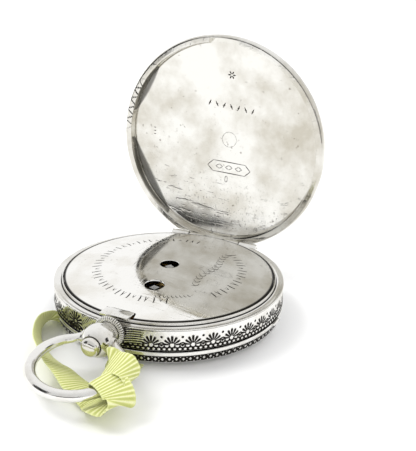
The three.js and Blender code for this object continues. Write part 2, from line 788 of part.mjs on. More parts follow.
// The mainspring, coiled loosely inside the barrel.
function spiral(innerR, outerR, turns, perTurn, thick, low, high, at, start = 0) {
  const count = Math.round(turns * perTurn);
  const inner = [];
  const outer = [];
  for (let i = 0; i <= count; i += 1) {
    const r = innerR + ((outerR - innerR) * i) / count;
    const angle = start + (360 * i) / perTurn;
    inner.push(polar(r - thick / 2, angle, at));
    outer.push(polar(r + thick / 2, angle, at));
  }
  return plate([...outer, ...inner.reverse()], low, high);
}

function square(side, low, high, at, turn = 12) {
  const half = side / Math.SQRT2;
  return plate([0, 90, 180, 270].map((a) => polar(half, a + turn, at)), low, high);
}

function barrelArbor() {
  return join(
    rod(barrelArborR, plateTop - 0.6, bridgeTop + 0.6, barrelAt, 14),
    rod(1.1, barrelLow + 0.35, barrelHigh - 0.3, barrelAt, 14),
    square(keySquare, bridgeTop + 0.5, windingSquareTop, barrelAt, 30),
  );
}

const ratchetR = 3.6;
function ratchetWheel() {
  const teeth = 24;
  const outline = [];
  for (let i = 0; i < teeth; i += 1) {
    outline.push(polar(ratchetR, (360 * i) / teeth, barrelAt));
    outline.push(polar(ratchetR - 0.45, (360 * (i + 0.12)) / teeth, barrelAt));
  }
  const disc = plate(outline, ...ratchetZ);
  return cut(disc, rod(barrelArborR + runFit, bridgeTop - 1, bridgeTop + 1, barrelAt, 14));
}

function clickPiece() {
  const beak = polar(ratchetR + 0.15, heading(barrelAt, clickAt) + 16, barrelAt);
  const body = plate([
    beak,
    polar(0.95, heading(clickAt, beak) + 95, clickAt),
    polar(1.0, heading(clickAt, beak) + 180, clickAt),
    polar(0.95, heading(clickAt, beak) - 95, clickAt),
  ], ...ratchetZ);
  const bore = rod(clickPinR + runFit, bridgeTop - 1, bridgeTop + 1, clickAt, 10);
  return cut(join(body, rod(1.0, ...ratchetZ, clickAt, 14)), bore);
}

function centreWheel() {
  const gear = wheel(centreGear, centreTeeth, 4, centreWheelZ, centre, thirdAt, 1.9);
  const leavesBody = pinion(centrePinion, centreLeaves, barrelLow, barrelLow + 0.9, centre, barrelAt);
  const tube = rod(tubeR, plateBottom + 0.1, bridgeTop - 0.05, centre, 16);
  return cut(join(gear, leavesBody, tube), rod(setBore, 4, 11, centre, 16));
}

function settingArbor() {
  return join(
    rod(setR, 2.1, bridgeTop + 0.2, centre, 14),
    rod(0.7, bridgeTop + 0.1, bridgeTop + 0.5, centre, 14),
    square(keySquare, bridgeTop + 0.4, settingSquareTop, centre),
  );
}

function cannonPinion() {
  const leavesBody = pinion(cannonGear, cannonTeeth, ...cannonZ, centre, minuteAt);
  const pipe = rod(0.58, 2.15, 4.8, centre, 14);
  return cut(join(leavesBody, pipe), rod(setBore, 1, 6, centre, 14));
}

function minuteWheel() {
  const gear = wheel(minuteGear, minuteTeeth, 0, minuteWheelZ, minuteAt, centre);
  const low = toothed(
    minuteLeaves, minutePinion.root, minutePinion.tip, ...minutePinionZ, minuteAt,
    heading(minuteAt, centre),
  );
  return cut(join(gear, low), rod(0.3, 4, 6, minuteAt, 10));
}

function hourWheel() {
  const phase = heading(centre, minuteAt) + 180 / hourTeeth;
  const gear = toothed(hourTeeth, hourGear.root, hourGear.tip, ...hourWheelZ, centre, phase);
  const pipe = rod(hourPipeR, 2.7, 4.5, centre, 16);
  return cut(join(gear, pipe), rod(0.66, 1, 6, centre, 14));
}

function thirdWheel() {
  return join(
    wheel(thirdGear, thirdTeeth, 4, thirdWheelZ, thirdAt, fourthAt, 1.4),
    pinion(thirdPinion, leaves, thirdWheelZ[1] - 0.05, 8.45, thirdAt, centre),
    rod(arborR, plateTop - 0.5, bridgeBottom + 0.3, thirdAt, 10),
  );
}

function fourthWheel() {
  return join(
    wheel(fourthGear, fourthTeeth, 4, fourthWheelZ, fourthAt, escapeAt, 1.2),
    pinion(fourthPinion, leaves, fourthWheelZ[1] - 0.05, 7.7, fourthAt, thirdAt),
    rod(arborR, 3.05, bridgeBottom + 0.3, fourthAt, 10),
  );
}

const escapeR = 2.6;
function escapeWheel() {
  const outline = [];
  for (let i = 0; i < escapeTeeth; i += 1) {
    const step = 360 / escapeTeeth;
    outline.push(polar(escapeR, i * step, escapeAt));
    outline.push(polar(escapeR - 0.1, i * step + 4, escapeAt));
    outline.push(polar(escapeR - 0.85, i * step + 9, escapeAt));
    outline.push(polar(escapeR - 0.85, i * step + 17, escapeAt));
  }
  return join(
    cut(plate(outline, ...escapeWheelZ), ...windows(3, 0.9, escapeR - 1.15, ...escapeWheelZ, escapeAt)),
    pinion(escapePinion, leaves, ...escapePinionZ, escapeAt, fourthAt),
    rod(arborR, plateTop - 0.5, bridgeBottom + 0.3, escapeAt, 10),
  );
}

// Lever with two arms beside the escape wheel and a fork towards the balance.
const rollerR = 0.7;
function palletFork() {
  const out = heading(forkAt, balanceAt);
  const reach = between(forkAt, balanceAt) - rollerR - 0.35;
  const tip = polar(reach, out, forkAt);
  const at = (r, a, from = forkAt) => polar(r, out + a, from);
  const lever = plate([
    at(0.35, 90), at(0.3, -90), at(0.28, -90, tip), at(0.28, 90, tip),
  ], ...leverZ);
  const arm = (side) => plate([
    at(0.3, side * 20), at(2.3, side * 97), at(2.45, side * 112), at(0.3, side * 170),
  ], ...leverZ);
  const fork = plate([at(0.6, 90, tip), at(0.1, 180, tip), at(0.6, -90, tip), at(0.2, 0, tip)], ...leverZ);
  const pin = rod(leverPinR, plateTop - 0.5, rollerZ[1], forkAt, 8);
  return join(lever, arm(1), arm(-1), rod(0.55, ...leverZ, forkAt, 12), fork, pin);
}

const balanceR = 6.3;
function balanceWheel() {
  const rim = cut(rod(balanceR, ...balanceZ, balanceAt, 28), rod(balanceR - 0.6, 7, 9, balanceAt, 28));
  const arm = (turn) => {
    const a = polar(balanceR - 0.4, turn, balanceAt);
    const b = polar(balanceR - 0.4, turn + 180, balanceAt);
    const side = polar(0.35, turn + 90);
    return plate([
      [a[0] - side[0], a[1] - side[1]], [a[0] + side[0], a[1] + side[1]],
      [b[0] + side[0], b[1] + side[1]], [b[0] - side[0], b[1] - side[1]],
    ], balanceZ[0] + 0.05, balanceZ[1] - 0.05);
  };
  const screwZ = (balanceZ[0] + balanceZ[1]) / 2;
  const screws = Array.from({ length: screwRing }, (_, i) => {
    const turn = (360 * i) / screwRing + 20;
    const from = polar(balanceR - 0.3, turn, balanceAt);
    const to = polar(balanceR + 0.25, turn, balanceAt);
    return bar([...from, screwZ], [...to, screwZ], 0.14, 6);
  });
  return join(rim, arm(15), arm(105), rod(0.9, balanceZ[0], balanceZ[1], balanceAt, 16), ...screws);
}

function balanceStaff() {
  return join(
    rod(arborR, plateTop - 0.5, balanceZ[0] - seat, balanceAt, 12),
    rod(rollerR, ...rollerZ, balanceAt, 14),
  );
}

// ---------------------------------------------------------------- plate, bridges and screws
const arbors = [
  [barrelAt, barrelArborR], [thirdAt, arborR], [fourthAt, arborR], [escapeAt, arborR],
  [forkAt, leverPinR], [balanceAt, arborR],
];

function mainPlate() {
  const disc = turned([
    [0, plateBottom],
    [bandInnerR + 0.4, plateBottom],
    [bandInnerR + 0.4, plateBottom + 0.6],
    [plateR, plateBottom + 0.6],
    [plateR, plateTop],
    [0, plateTop],
  ], 40);
  const blind = arbors.filter(([at]) => at !== fourthAt).map(([at, r]) => (
    rod(r + runFit, plateTop - 0.65, plateTop + 1, at, 12)
  ));
  const through = rod(arborR + runFit, 4, 8, fourthAt, 12);
  return cut(disc, ...blind, through, rod(tubeR + runFit, 4, 8, centre, 16));
}

function capsule(a, b, radiusA, radiusB, low, high) {
  const turn = heading(a, b);
  return plate([
    ...arc(radiusA, turn + 90, turn + 270, 5, a),
    ...arc(radiusB, turn - 90, turn + 90, 5, b),
  ], low, high);
}

const screwHead = 0.75;
const screwShank = 0.35;

// A bridge is a bar over its arbors on feet that stand on the main plate.
function bridge(points, radii, feet, holes, low = bridgeBottom, high = bridgeTop) {
  const bars = points.slice(1).map((point, i) => (
    capsule(points[i], point, radii[i], radii[i + 1], low, high)
  ));
  const legs = feet.map((foot) => rod(1.25, plateTop + seat, low + 0.1, foot, 12));
  const cuts = feet.flatMap((foot) => [
    rod(screwHead + 0.08, high - 0.3, high + 1, foot, 12),
    rod(screwShank + runFit, 5, high + 1, foot, 8),
  ]);
  const bores = holes.map(([at, r]) => rod(r + runFit, low - 1, high + 1, at, 14));
  return cut(join(...bars, ...legs), ...cuts, ...bores);
}

function screw(at, high = bridgeTop) {
  const head = rod(screwHead, high - 0.27, high + 0.08, at, 12);
  const slot = block([at[0] - 1, at[1] - 0.11, high - 0.08], [at[0] + 1, at[1] + 0.11, high + 1]);
  return join(cut(head, slot), rod(screwShank, plateTop + 0.3, high - 0.2, at, 8));
}

const barrelFeet = [[-10.5, -13], [13.2, -11.5]];
const centreFeet = [[-12.3, -2], [11.4, -2.6]];
const thirdFoot = [-13.5, 9];
const fourthFoot = [-7, 16];
const escapeFoot = [5.6, 18.2];
const balanceFoot = [17.2, 0.2];

// ---------------------------------------------------------------- assembly
add('case_band', caseBand(), silver());
add('pendant_ball', pendantBall(), silver());
add('pendant_collar', pendantCollar(), silver());
add('push_button', pushButton(), silver());
add('bow', bowWire(), silver());
add('ribbon', ribbonTube(), silk());
add('cuvette', cuvette(), silver());
add('hinge_pin', alongPin(pinR, -caseKnuckle, caseKnuckle, 14), steel());

// The back cover is drawn closed and stands open about the hinge pin.
const coverPivot = new THREE.Group();
coverPivot.position.set(0, hingeY, hingeZ);
coverPivot.rotation.x = -rad(coverOpen);
const coverFrame = new THREE.Group();
coverFrame.position.set(0, -hingeY, -hingeZ);
coverPivot.add(coverFrame);
watch.add(coverPivot);
add('back_cover', backCover(), silver(), coverFrame);

add('lock_catch', lockCatch(), silver());
add('bezel', bezelRing(), silver());
add('bezel_hinge_pin', bar(
  [bezelHingeX, -bezelHingeHalf, bezelHingeZ],
  [bezelHingeX, bezelHingeHalf, bezelHingeZ],
  pinR,
  12,
), steel());
add('crystal', crystal(), glass());
add('dial', dial(), enamel());
add('minute_hand', hand(16.5, 3, 0.32, 2.2, 2.42, 1.2, 0.65, centre, -120), blued());
add('hour_hand', hand(10.5, 2.6, 0.42, 2.75, 2.97, 1.5, hourPipeR + runFit, centre, 125), blued());
add('seconds_hand', hand(4.2, 1.6, 0.14, 3.12, 3.32, 0.6, arborR + runFit, fourthAt, -30), blued());
add('cannon_pinion', cannonPinion(), steel());
add('minute_wheel', minuteWheel(), brass());
add('hour_wheel', hourWheel(), brass());
add('main_plate', mainPlate(), gilt());
add('barrel', barrel(), gilt());
add('mainspring', spiral(
  ...springR, 3, 12, springThick, barrelLow + 0.45, barrelHigh - 0.4, barrelAt,
), steel());
add('barrel_arbor', barrelArbor(), steel());
add('ratchet_wheel', ratchetWheel(), steel());
add('click', clickPiece(), steel());
add('centre_wheel', centreWheel(), brass());
add('setting_arbor', settingArbor(), steel());
add('third_wheel', thirdWheel(), brass());
add('fourth_wheel', fourthWheel(), brass());
add('escape_wheel', escapeWheel(), steel());
add('pallet_fork', palletFork(), steel());
add('balance_wheel', balanceWheel(), brass());
add('balance_staff', balanceStaff(), steel());
add('hairspring', spiral(...hairspringR, 3, 12, hairspringThick, ...hairspringZ, balanceAt), blued());
add('barrel_bridge', bridge(
  [barrelFeet[0], barrelAt, barrelFeet[1]], [1.9, 4.6, 1.9], barrelFeet, [[barrelAt, barrelArborR]],
), gilt());
add('centre_bridge', bridge(
  [centreFeet[0], centre, centreFeet[1]], [1.8, 2.3, 1.8], centreFeet, [[centre, tubeR]],
), gilt());
add('third_cock', bridge([thirdFoot, thirdAt], [1.8, 1.3], [thirdFoot], [[thirdAt, arborR]]), gilt());
add('fourth_cock', bridge(
  [fourthFoot, fourthAt], [1.8, 1.3], [fourthFoot], [[fourthAt, arborR]],
), gilt());
add('escape_cock', bridge(
  [escapeFoot, escapeAt], [1.6, 1.2], [escapeFoot], [[escapeAt, arborR]],
), gilt());
add('balance_cock', bridge(
  [balanceFoot, balanceAt], [1.8, 2.6], [balanceFoot], [],
), gilt());

const screwPlaces = [...barrelFeet, ...centreFeet, thirdFoot, fourthFoot, escapeFoot, balanceFoot];
screwPlaces.forEach((at, i) => add(`bridge_screw_${i + 1}`, screw(at), blued()));

export default watch;
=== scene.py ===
import json
import math

import bmesh
import bpy
import numpy as np
from mathutils import Matrix, Vector


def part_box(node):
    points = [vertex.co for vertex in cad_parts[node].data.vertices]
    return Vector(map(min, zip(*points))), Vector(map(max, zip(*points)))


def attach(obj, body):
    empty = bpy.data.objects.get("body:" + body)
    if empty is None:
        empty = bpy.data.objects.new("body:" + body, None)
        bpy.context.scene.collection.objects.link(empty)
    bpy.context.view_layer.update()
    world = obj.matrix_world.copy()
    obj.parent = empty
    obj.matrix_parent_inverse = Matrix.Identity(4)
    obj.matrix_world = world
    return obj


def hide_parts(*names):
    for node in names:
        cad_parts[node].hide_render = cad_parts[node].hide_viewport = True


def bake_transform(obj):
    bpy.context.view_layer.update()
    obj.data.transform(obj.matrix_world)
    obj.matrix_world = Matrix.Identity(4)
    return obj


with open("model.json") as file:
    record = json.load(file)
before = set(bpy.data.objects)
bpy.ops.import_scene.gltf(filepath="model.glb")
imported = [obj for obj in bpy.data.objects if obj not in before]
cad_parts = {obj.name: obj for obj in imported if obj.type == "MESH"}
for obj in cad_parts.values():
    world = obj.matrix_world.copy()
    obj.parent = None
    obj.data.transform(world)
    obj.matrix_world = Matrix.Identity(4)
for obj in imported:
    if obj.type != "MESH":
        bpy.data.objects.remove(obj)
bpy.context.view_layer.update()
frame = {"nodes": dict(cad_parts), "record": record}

# ------------------------------------------------------------ sizes, in millimetres
MM = 0.001
DEG = math.pi / 180
TURN = 2 * math.pi


def low(node):
    return Vector(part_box(node)[0]) / MM


def high(node):
    return Vector(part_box(node)[1]) / MM


def joint(name):
    return next(j for j in frame["record"]["behaviour"]["joints"] if j["name"] == name)


def pivot(name):
    return Vector(joint(name)["pos_m"]) / MM


BAND_WALL = 3.2
LIP_RISE = 0.62
RIM_WIDTH = 1.8
BAND_R = high("case_band").x
BAND_LOW = low("case_band").z
LIP_TOP = high("case_band").z
BAND_TOP = LIP_TOP - LIP_RISE
LIP_R = BAND_R - RIM_WIDTH
PIN = pivot("cuvette_hinge")
PIN_R = 0.4
KNUCKLE_R = 0.8
KNUCKLE_ENDS = (2.4, 6.7, 11.0)
KNUCKLE_GAP = 0.25
COVER_OPEN = -joint("back_cover_hinge")["range_deg"][0] * DEG
COVER_R = high("back_cover").x
COVER_RIM = BAND_TOP + 0.2
COVER_INNER_R = LIP_R + 0.25
COVER_WALL_TOP = COVER_RIM + 2
COVER_TOP = COVER_RIM + 5
COVER_SHEET = 0.75
CUVETTE_R = high("cuvette").x
CUVETTE_TOP = high("cuvette").z
CUVETTE_EDGE = LIP_TOP + 0.04
CUVETTE_SHEET = 0.45
WINDING = pivot("barrel_turn")
SETTING = pivot("centre_turn")
CATCH_LOW, CATCH_HIGH = low("lock_catch"), high("lock_catch")
BEZEL_TOP = BAND_LOW - 0.2
BEZEL_HINGE = pivot("bezel_hinge")
BEZEL_IN = BAND_R - 3.4
BALL = pivot("bow_swing")
BALL_R = high("pendant_ball").x
NECK_R = 2.2
BUTTON_R = high("push_button").x
BUTTON_TIP = low("push_button").y
COLLAR_R = high("pendant_collar").x
BOW_A, BOW_B = 8.89, 8.07
BOW_REACH = BOW_B - 0.1
BOW_DROP = 10.34 * DEG
WIRE_R, WIRE_END_R = 1.1, 0.8
RIBBON_WIDTH, RIBBON_THICK = 6.0, 0.34
RIB_PITCH = 0.64
SUNK_DEPTH = 0.25

# ------------------------------------------------------------ camera
CAMERA_AT = Vector((79.67, -157.06, 91.58)) * MM
AZIMUTH, ELEVATION, ROLL = 24.259 * DEG, 21.919 * DEG, 1.646 * DEG
LENS = 70.91


def make_camera():
    back = Vector((
        math.sin(AZIMUTH) * math.cos(ELEVATION),
        -math.cos(AZIMUTH) * math.cos(ELEVATION),
        math.sin(ELEVATION),
    ))
    right = Vector((math.cos(AZIMUTH), math.sin(AZIMUTH), 0))
    up = back.cross(right)
    side = right * math.cos(ROLL) + up * math.sin(ROLL)
    top = up * math.cos(ROLL) - right * math.sin(ROLL)
    data = bpy.data.cameras.new("camera")
    data.lens = LENS
    data.sensor_width = 36
    data.clip_start = 0.01
    camera = bpy.data.objects.new("camera", data)
    bpy.context.scene.collection.objects.link(camera)
    turn = Matrix((side, top, back)).transposed().to_4x4()
    camera.matrix_world = Matrix.Translation(CAMERA_AT) @ turn
    bpy.context.scene.camera = camera


make_camera()


# ------------------------------------------------------------ mesh tools
class Shape:
    """Vertices in millimetres and faces, gathered piece by piece into one mesh."""

    def __init__(self):
        self.verts, self.faces, self.marks, self.count = [], [], {}, 0

    def add(self, verts, faces, **marks):
        verts = np.asarray(verts, float).reshape(-1, 3)
        for name in set(self.marks) | set(marks):
            values = self.marks.setdefault(name, [np.zeros(self.count)])
            values.append(np.broadcast_to(marks.get(name, 0.0), (len(verts),)))
        self.verts.append(verts)
        start = self.count
        self.faces.extend([[start + i for i in face] for face in faces])
        self.count += len(verts)
        return self

    def moved(self, change):
        self.verts = [change(v) for v in self.verts]
        return self


def solid(name, shape, material, body, hides=(), sharp=35, merge=True):
    mesh = bpy.data.meshes.new(name)
    verts = np.concatenate(shape.verts) * MM
    mesh.from_pydata(verts.tolist(), [], shape.faces)
    for mark, values in shape.marks.items():
        layer = mesh.attributes.new(mark, "FLOAT", "POINT")
        layer.data.foreach_set("value", np.concatenate(values).astype(np.float32))
    work = bmesh.new()
    work.from_mesh(mesh)
    if merge:
        bmesh.ops.remove_doubles(work, verts=work.verts, dist=1e-7)
    bmesh.ops.recalc_face_normals(work, faces=work.faces)
    work.to_mesh(mesh)
    work.free()
    mesh.polygons.foreach_set("use_smooth", [True] * len(mesh.polygons))
    mesh.set_sharp_from_angle(angle=sharp * DEG)
    mesh.materials.append(material)
    piece = bpy.data.objects.new(name, mesh)
    bpy.context.scene.collection.objects.link(piece)
    if body:
        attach(piece, body)
    if hides:
        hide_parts(*hides)
    return piece


def rounded(points, radius, steps=3):
    """The closed outline with each corner cut to a small curve."""
    points = [np.array(p, float) for p in points]
    out = []
    for i, corner in enumerate(points):
        before, after = points[i - 1], points[(i + 1) % len(points)]
        if corner[0] == 0:
            out.append(corner)
            continue
        ins, outs = before - corner, after - corner
        reach_in = min(radius, 0.45 * np.linalg.norm(ins))
        reach_out = min(radius, 0.45 * np.linalg.norm(outs))
        a = corner + ins / np.linalg.norm(ins) * reach_in
        b = corner + outs / np.linalg.norm(outs) * reach_out
        for k in range(steps + 1):
            t = k / steps
            out.append((1 - t) ** 2 * a + 2 * t * (1 - t) * corner + t * t * b)
    return out


def fine(points, step, where=lambda p: True, closed=True):
    """The outline with its long stretches divided where asked."""
    out = []
    ends = list(points[1:]) + ([points[0]] if closed else [])
    for start, end in zip(points, ends):
        start, end = np.array(start, float), np.array(end, float)
        parts = 1
        if where((start + end) / 2):
            parts = max(1, int(np.ceil(np.linalg.norm(end - start) / step)))
        out += [start + (end - start) * k / parts for k in range(parts)]
    if not closed:
        out.append(np.array(points[-1], float))
    return np.array(out)


def revolve(outline, segments, sculpt=None, closed=True):
    """A ring or disc round Z. sculpt(theta, r, z) gives the rise along the surface's
    normal, and how dark the surface is painted: engraving fill, and in places painted shade."""
    outline = np.array(outline, float)
    n = len(outline)
    theta = np.linspace(0, TURN, segments, endpoint=False)[None, :]
    r, z = outline[:, :1], outline[:, 1:2]
    rise, dark = np.zeros((n, segments)), np.zeros((n, segments))
    if sculpt:
        ahead, behind = np.roll(outline, -1, 0), np.roll(outline, 1, 0)
        along = ahead - behind
        along /= np.maximum(np.linalg.norm(along, axis=1, keepdims=True), 1e-9)
        area = np.sum(outline[:, 0] * ahead[:, 1] - ahead[:, 0] * outline[:, 1])
        normal = np.stack([along[:, 1], -along[:, 0]], 1) * np.sign(area)
        rise, dark = sculpt(theta, r, z)
        r = r + normal[:, :1] * rise
        z = z + normal[:, 1:2] * rise
    verts = np.stack(np.broadcast_arrays(r * np.cos(theta), r * np.sin(theta), z), 2)
    rows = n if closed else n - 1
    i, j = np.meshgrid(np.arange(rows), np.arange(segments), indexing="ij")
    a, b = i * segments + j, i * segments + (j + 1) % segments
    c, d = (i + 1) % n * segments + (j + 1) % segments, (i + 1) % n * segments + j
    faces = np.stack([a, b, c, d], 2).reshape(-1, 4).tolist()
    return verts.reshape(-1, 3), faces, np.broadcast_to(dark, (n, segments)).reshape(-1)


def turned(outline, segments):
    """A solid of revolution round Z, from an outline that starts and ends on the axis."""
    return Shape().add(*revolve(np.array(outline), segments, closed=False)[:2])


def skin(rows, sides):
    """Faces of a closed tube: rows of points joined round and along, with flat ends."""
    faces = []
    for start in range(0, (rows - 1) * sides, sides):
        for k in range(sides):
            after = (k + 1) % sides
            near, far = start + k, start + after
            faces.append([near, far, far + sides, near + sides])
    faces.append(list(range(sides))[::-1])
    faces.append([(rows - 1) * sides + k for k in range(sides)])
    return faces


def tube(path, radii, sides=24):
    """A round bar along the path, with flat ends."""
    path = np.array(path, float)
    radii = np.broadcast_to(radii, (len(path),))
    along = np.gradient(path, axis=0)
    along /= np.linalg.norm(along, axis=1, keepdims=True)
    side = np.cross(along[0], [0.3, 0.2, 0.93])
    side /= np.linalg.norm(side)
    verts = []
    for point, way, radius in zip(path, along, radii):
        side = side - way * side.dot(way)
        side /= np.linalg.norm(side)
        other = np.cross(way, side)
        for k in range(sides):
            angle = TURN * k / sides
            verts.append(point + radius * (math.cos(angle) * side + math.sin(angle) * other))
    return np.array(verts), skin(len(path), sides)


def pin(start, end, radius, sides=32, edge=0.12):
    """A straight round pin with rounded ends."""
    start, end = np.array(start, float), np.array(end, float)
    length = np.linalg.norm(end - start)
    way = (end - start) / length
    steps = [(0, 1 - 2.2 * edge / radius), (0.25 * edge, 1 - 0.8 * edge / radius), (edge, 1)]
    path, radii = [], []
    for offset, share in steps:
        path.append(start + way * offset)
        radii.append(radius * share)
    for offset, share in steps[::-1]:
        path.append(end - way * offset)
        radii.append(radius * share)
    return tube(path, np.array(radii), sides)


def bevelled(verts, faces, width, parts=2):
    work = bmesh.new()
    points = [work.verts.new(v) for v in verts]
    for face in faces:
        work.faces.new([points[i] for i in face])
    bmesh.ops.recalc_face_normals(work, faces=work.faces)
    bmesh.ops.bevel(
        work, geom=list(work.edges), offset=width, segments=parts,
        affect="EDGES", profile=0.5, clamp_overlap=True,
    )
    work.verts.index_update()
    verts = [list(v.co) for v in work.verts]
    faces = [[v.index for v in face.verts] for face in work.faces]
    work.free()
    return np.array(verts), faces


def prism(outline, depth, place, bevel=0.1):
    """A flat plate of an outline; place(a, b, c) puts outline and depth into space."""
    n = len(outline)
    verts = [place(a, b, c) for c in depth for a, b in outline]
    faces = [list(range(n))[::-1], list(range(n, 2 * n))]
    faces += [[k, (k + 1) % n, n + (k + 1) % n, n + k] for k in range(n)]
    return bevelled(verts, faces, bevel) if bevel else (np.array(verts), faces)


def block(lowest, highest, bevel=0.1):
    outline = [
        (lowest[0], lowest[1]), (highest[0], lowest[1]),
        (highest[0], highest[1]), (lowest[0], highest[1]),
    ]
    return prism(outline, (lowest[2], highest[2]), lambda a, b, c: (a, b, c), bevel)


def heading(angle):
    return np.array([math.cos(angle), math.sin(angle)])


def cell(value, pitch):
    """Distance from the middle of the repeat that the value falls in."""
    return (value / pitch - np.floor(value / pitch) - 0.5) * pitch


def bump(value, width):
    return np.exp(-((value / width) ** 4))


# ------------------------------------------------------------ materials
class Paint:
    """One material and short names for making its nodes."""

    def __init__(self, name):
        self.material = bpy.data.materials.new(name)
        self.material.use_nodes = True
        self.tree = self.material.node_tree
        self.shader = self.tree.nodes["Principled BSDF"]
        self.place = self.node("ShaderNodeTexCoord").outputs["Object"]

    def node(self, kind, **values):
        node = self.tree.nodes.new(kind)
        for name, value in values.items():
            setattr(node, name, value)
        return node

    def link(self, output, target):
        self.tree.links.new(output, target)

    def feed(self, target, value):
        if isinstance(value, (int, float, tuple)):
            target.default_value = value
        else:
            self.link(value, target)

    def stretched(self, scale):
        node = self.node("ShaderNodeMapping")
        node.inputs["Scale"].default_value = scale
        self.link(self.place, node.inputs["Vector"])
        return node.outputs["Vector"]

    def noise(self, scale, detail=4.0, rough=0.55, place=None):
        node = self.node("ShaderNodeTexNoise")
        node.inputs["Scale"].default_value = scale
        node.inputs["Detail"].default_value = detail
        node.inputs["Roughness"].default_value = rough
        self.link(place or self.place, node.inputs["Vector"])
        return node.outputs["Fac"]

    def range(self, value, start, end, low=0.0, high=1.0):
        node = self.node("ShaderNodeMapRange")
        self.link(value, node.inputs["Value"])
        for name, number in zip(
            ("From Min", "From Max", "To Min", "To Max"), (start, end, low, high)
        ):
            node.inputs[name].default_value = number
        return node.outputs["Result"]

    def math(self, operation, first, second=0.0):
        node = self.node("ShaderNodeMath", operation=operation)
        self.feed(node.inputs[0], first)
        self.feed(node.inputs[1], second)
        return node.outputs["Value"]

    def mix(self, share, first, second):
        node = self.node("ShaderNodeMix", data_type="RGBA")
        self.feed(node.inputs["Factor"], share)
        self.feed(node.inputs["A"], first)
        self.feed(node.inputs["B"], second)
        return node.outputs["Result"]

    def mark(self, name):
        return self.node("ShaderNodeAttribute", attribute_name=name).outputs["Fac"]

    def set(self, **values):
        for name, value in values.items():
            self.feed(self.shader.inputs[name.replace("_", " ")], value)

    def relief(self, height, distance, strength=1.0):
        node = self.node("ShaderNodeBump")
        node.inputs["Distance"].default_value = distance
        node.inputs["Strength"].default_value = strength
        self.link(height, node.inputs["Height"])
        self.link(node.outputs["Normal"], self.shader.inputs["Normal"])


def rgb(red, green, blue):
    return (red, green, blue, 1.0)


def silver(name, bright, aged, rough, age=0.5, scratches=0.35, marked=False):
    """Silver with cloudy tarnish, small dark specks and fine hairline scratches."""
    paint = Paint(name)
    clouds = paint.range(paint.noise(95, 7, 0.6), 0.62 - 0.3 * age, 0.9 - 0.3 * age)
    colour = paint.mix(clouds, bright, aged)
    specks = paint.range(paint.noise(1150, 2, 0.5), 0.66, 0.72)
    patches = paint.range(paint.noise(160, 3, 0.5), 0.5, 0.66)
    specks = paint.math("MULTIPLY", paint.math("MULTIPLY", specks, patches), age)
    colour = paint.mix(specks, colour, rgb(0.16, 0.13, 0.1))
    hair = paint.noise(1.0, 2, 0.5, paint.stretched((140, 2600, 900)))
    cross = paint.noise(1.0, 2, 0.5, paint.stretched((2300, 190, 1100)))
    lines = paint.math("ADD", paint.range(hair, 0.6, 0.7), paint.range(cross, 0.62, 0.72))
    gloss = paint.range(paint.noise(210, 5, 0.6), 0.3, 0.75, rough[0], rough[1])
    gloss = paint.math("ADD", gloss, paint.math("MULTIPLY", lines, 0.05))
    if marked:
        # The dark mark is engraving fill and, along gaps, grooves and troughs, painted shade; both
        # mix towards near black.
        dark = paint.range(paint.mark("dark"), 0.16, 0.5)
        colour = paint.mix(dark, colour, rgb(0.018, 0.016, 0.013))
        gloss = paint.math("ADD", gloss, paint.math("MULTIPLY", dark, 0.35))
    paint.set(Base_Color=colour, Metallic=1.0, Roughness=gloss)
    paint.relief(lines, 0.000012, scratches)
    return paint.material


def metal(name, bright, deep, rough, scale=300, grain=0.3, stretch=(1, 1, 1)):
    """A plain metal with brushed or frosted grain and slow changes of colour."""
    paint = Paint(name)
    place = paint.stretched(stretch)
    colour = paint.mix(paint.range(paint.noise(140, 4), 0.35, 0.7), bright, deep)
    grains = paint.noise(scale, 3, 0.6, place)
    gloss = paint.range(paint.noise(260, 4), 0.3, 0.7, rough[0], rough[1])
    paint.set(Base_Color=colour, Metallic=1.0, Roughness=gloss)
    paint.relief(grains, 0.00004, grain)
    return paint.material


def enamel():
    paint = Paint("dial_enamel")
    colour = paint.mix(
        paint.range(paint.noise(70, 5), 0.4, 0.75), rgb(0.86, 0.85, 0.8), rgb(0.8, 0.77, 0.69)
    )
    specks = paint.range(paint.noise(1500, 1), 0.76, 0.8)
    colour = paint.mix(specks, colour, rgb(0.3, 0.26, 0.2))
    gloss = paint.range(paint.noise(300, 3), 0.3, 0.7, 0.1, 0.2)
    paint.set(Base_Color=colour, Roughness=gloss, Coat_Weight=0.6, Coat_Roughness=0.05)
    paint.relief(paint.noise(420, 2), 0.00004, 0.15)
    return paint.material


def glass():
    paint = Paint("crystal_glass")
    gloss = paint.range(paint.noise(500, 5), 0.45, 0.8, 0.01, 0.06)
    tint = paint.mix(paint.noise(60, 2), rgb(0.97, 0.99, 0.98), rgb(0.93, 0.97, 0.96))
    paint.set(Base_Color=tint, Roughness=gloss, Transmission_Weight=1.0, IOR=1.5)
    paint.relief(paint.noise(90, 2), 0.00005, 0.05)
    return paint.material


def ink():
    paint = Paint("dial_ink")
    colour = paint.mix(paint.noise(900, 3), rgb(0.012, 0.012, 0.014), rgb(0.035, 0.033, 0.03))
    paint.set(Base_Color=colour, Roughness=paint.range(paint.noise(400, 3), 0.2, 0.8, 0.25, 0.45))
    return paint.material


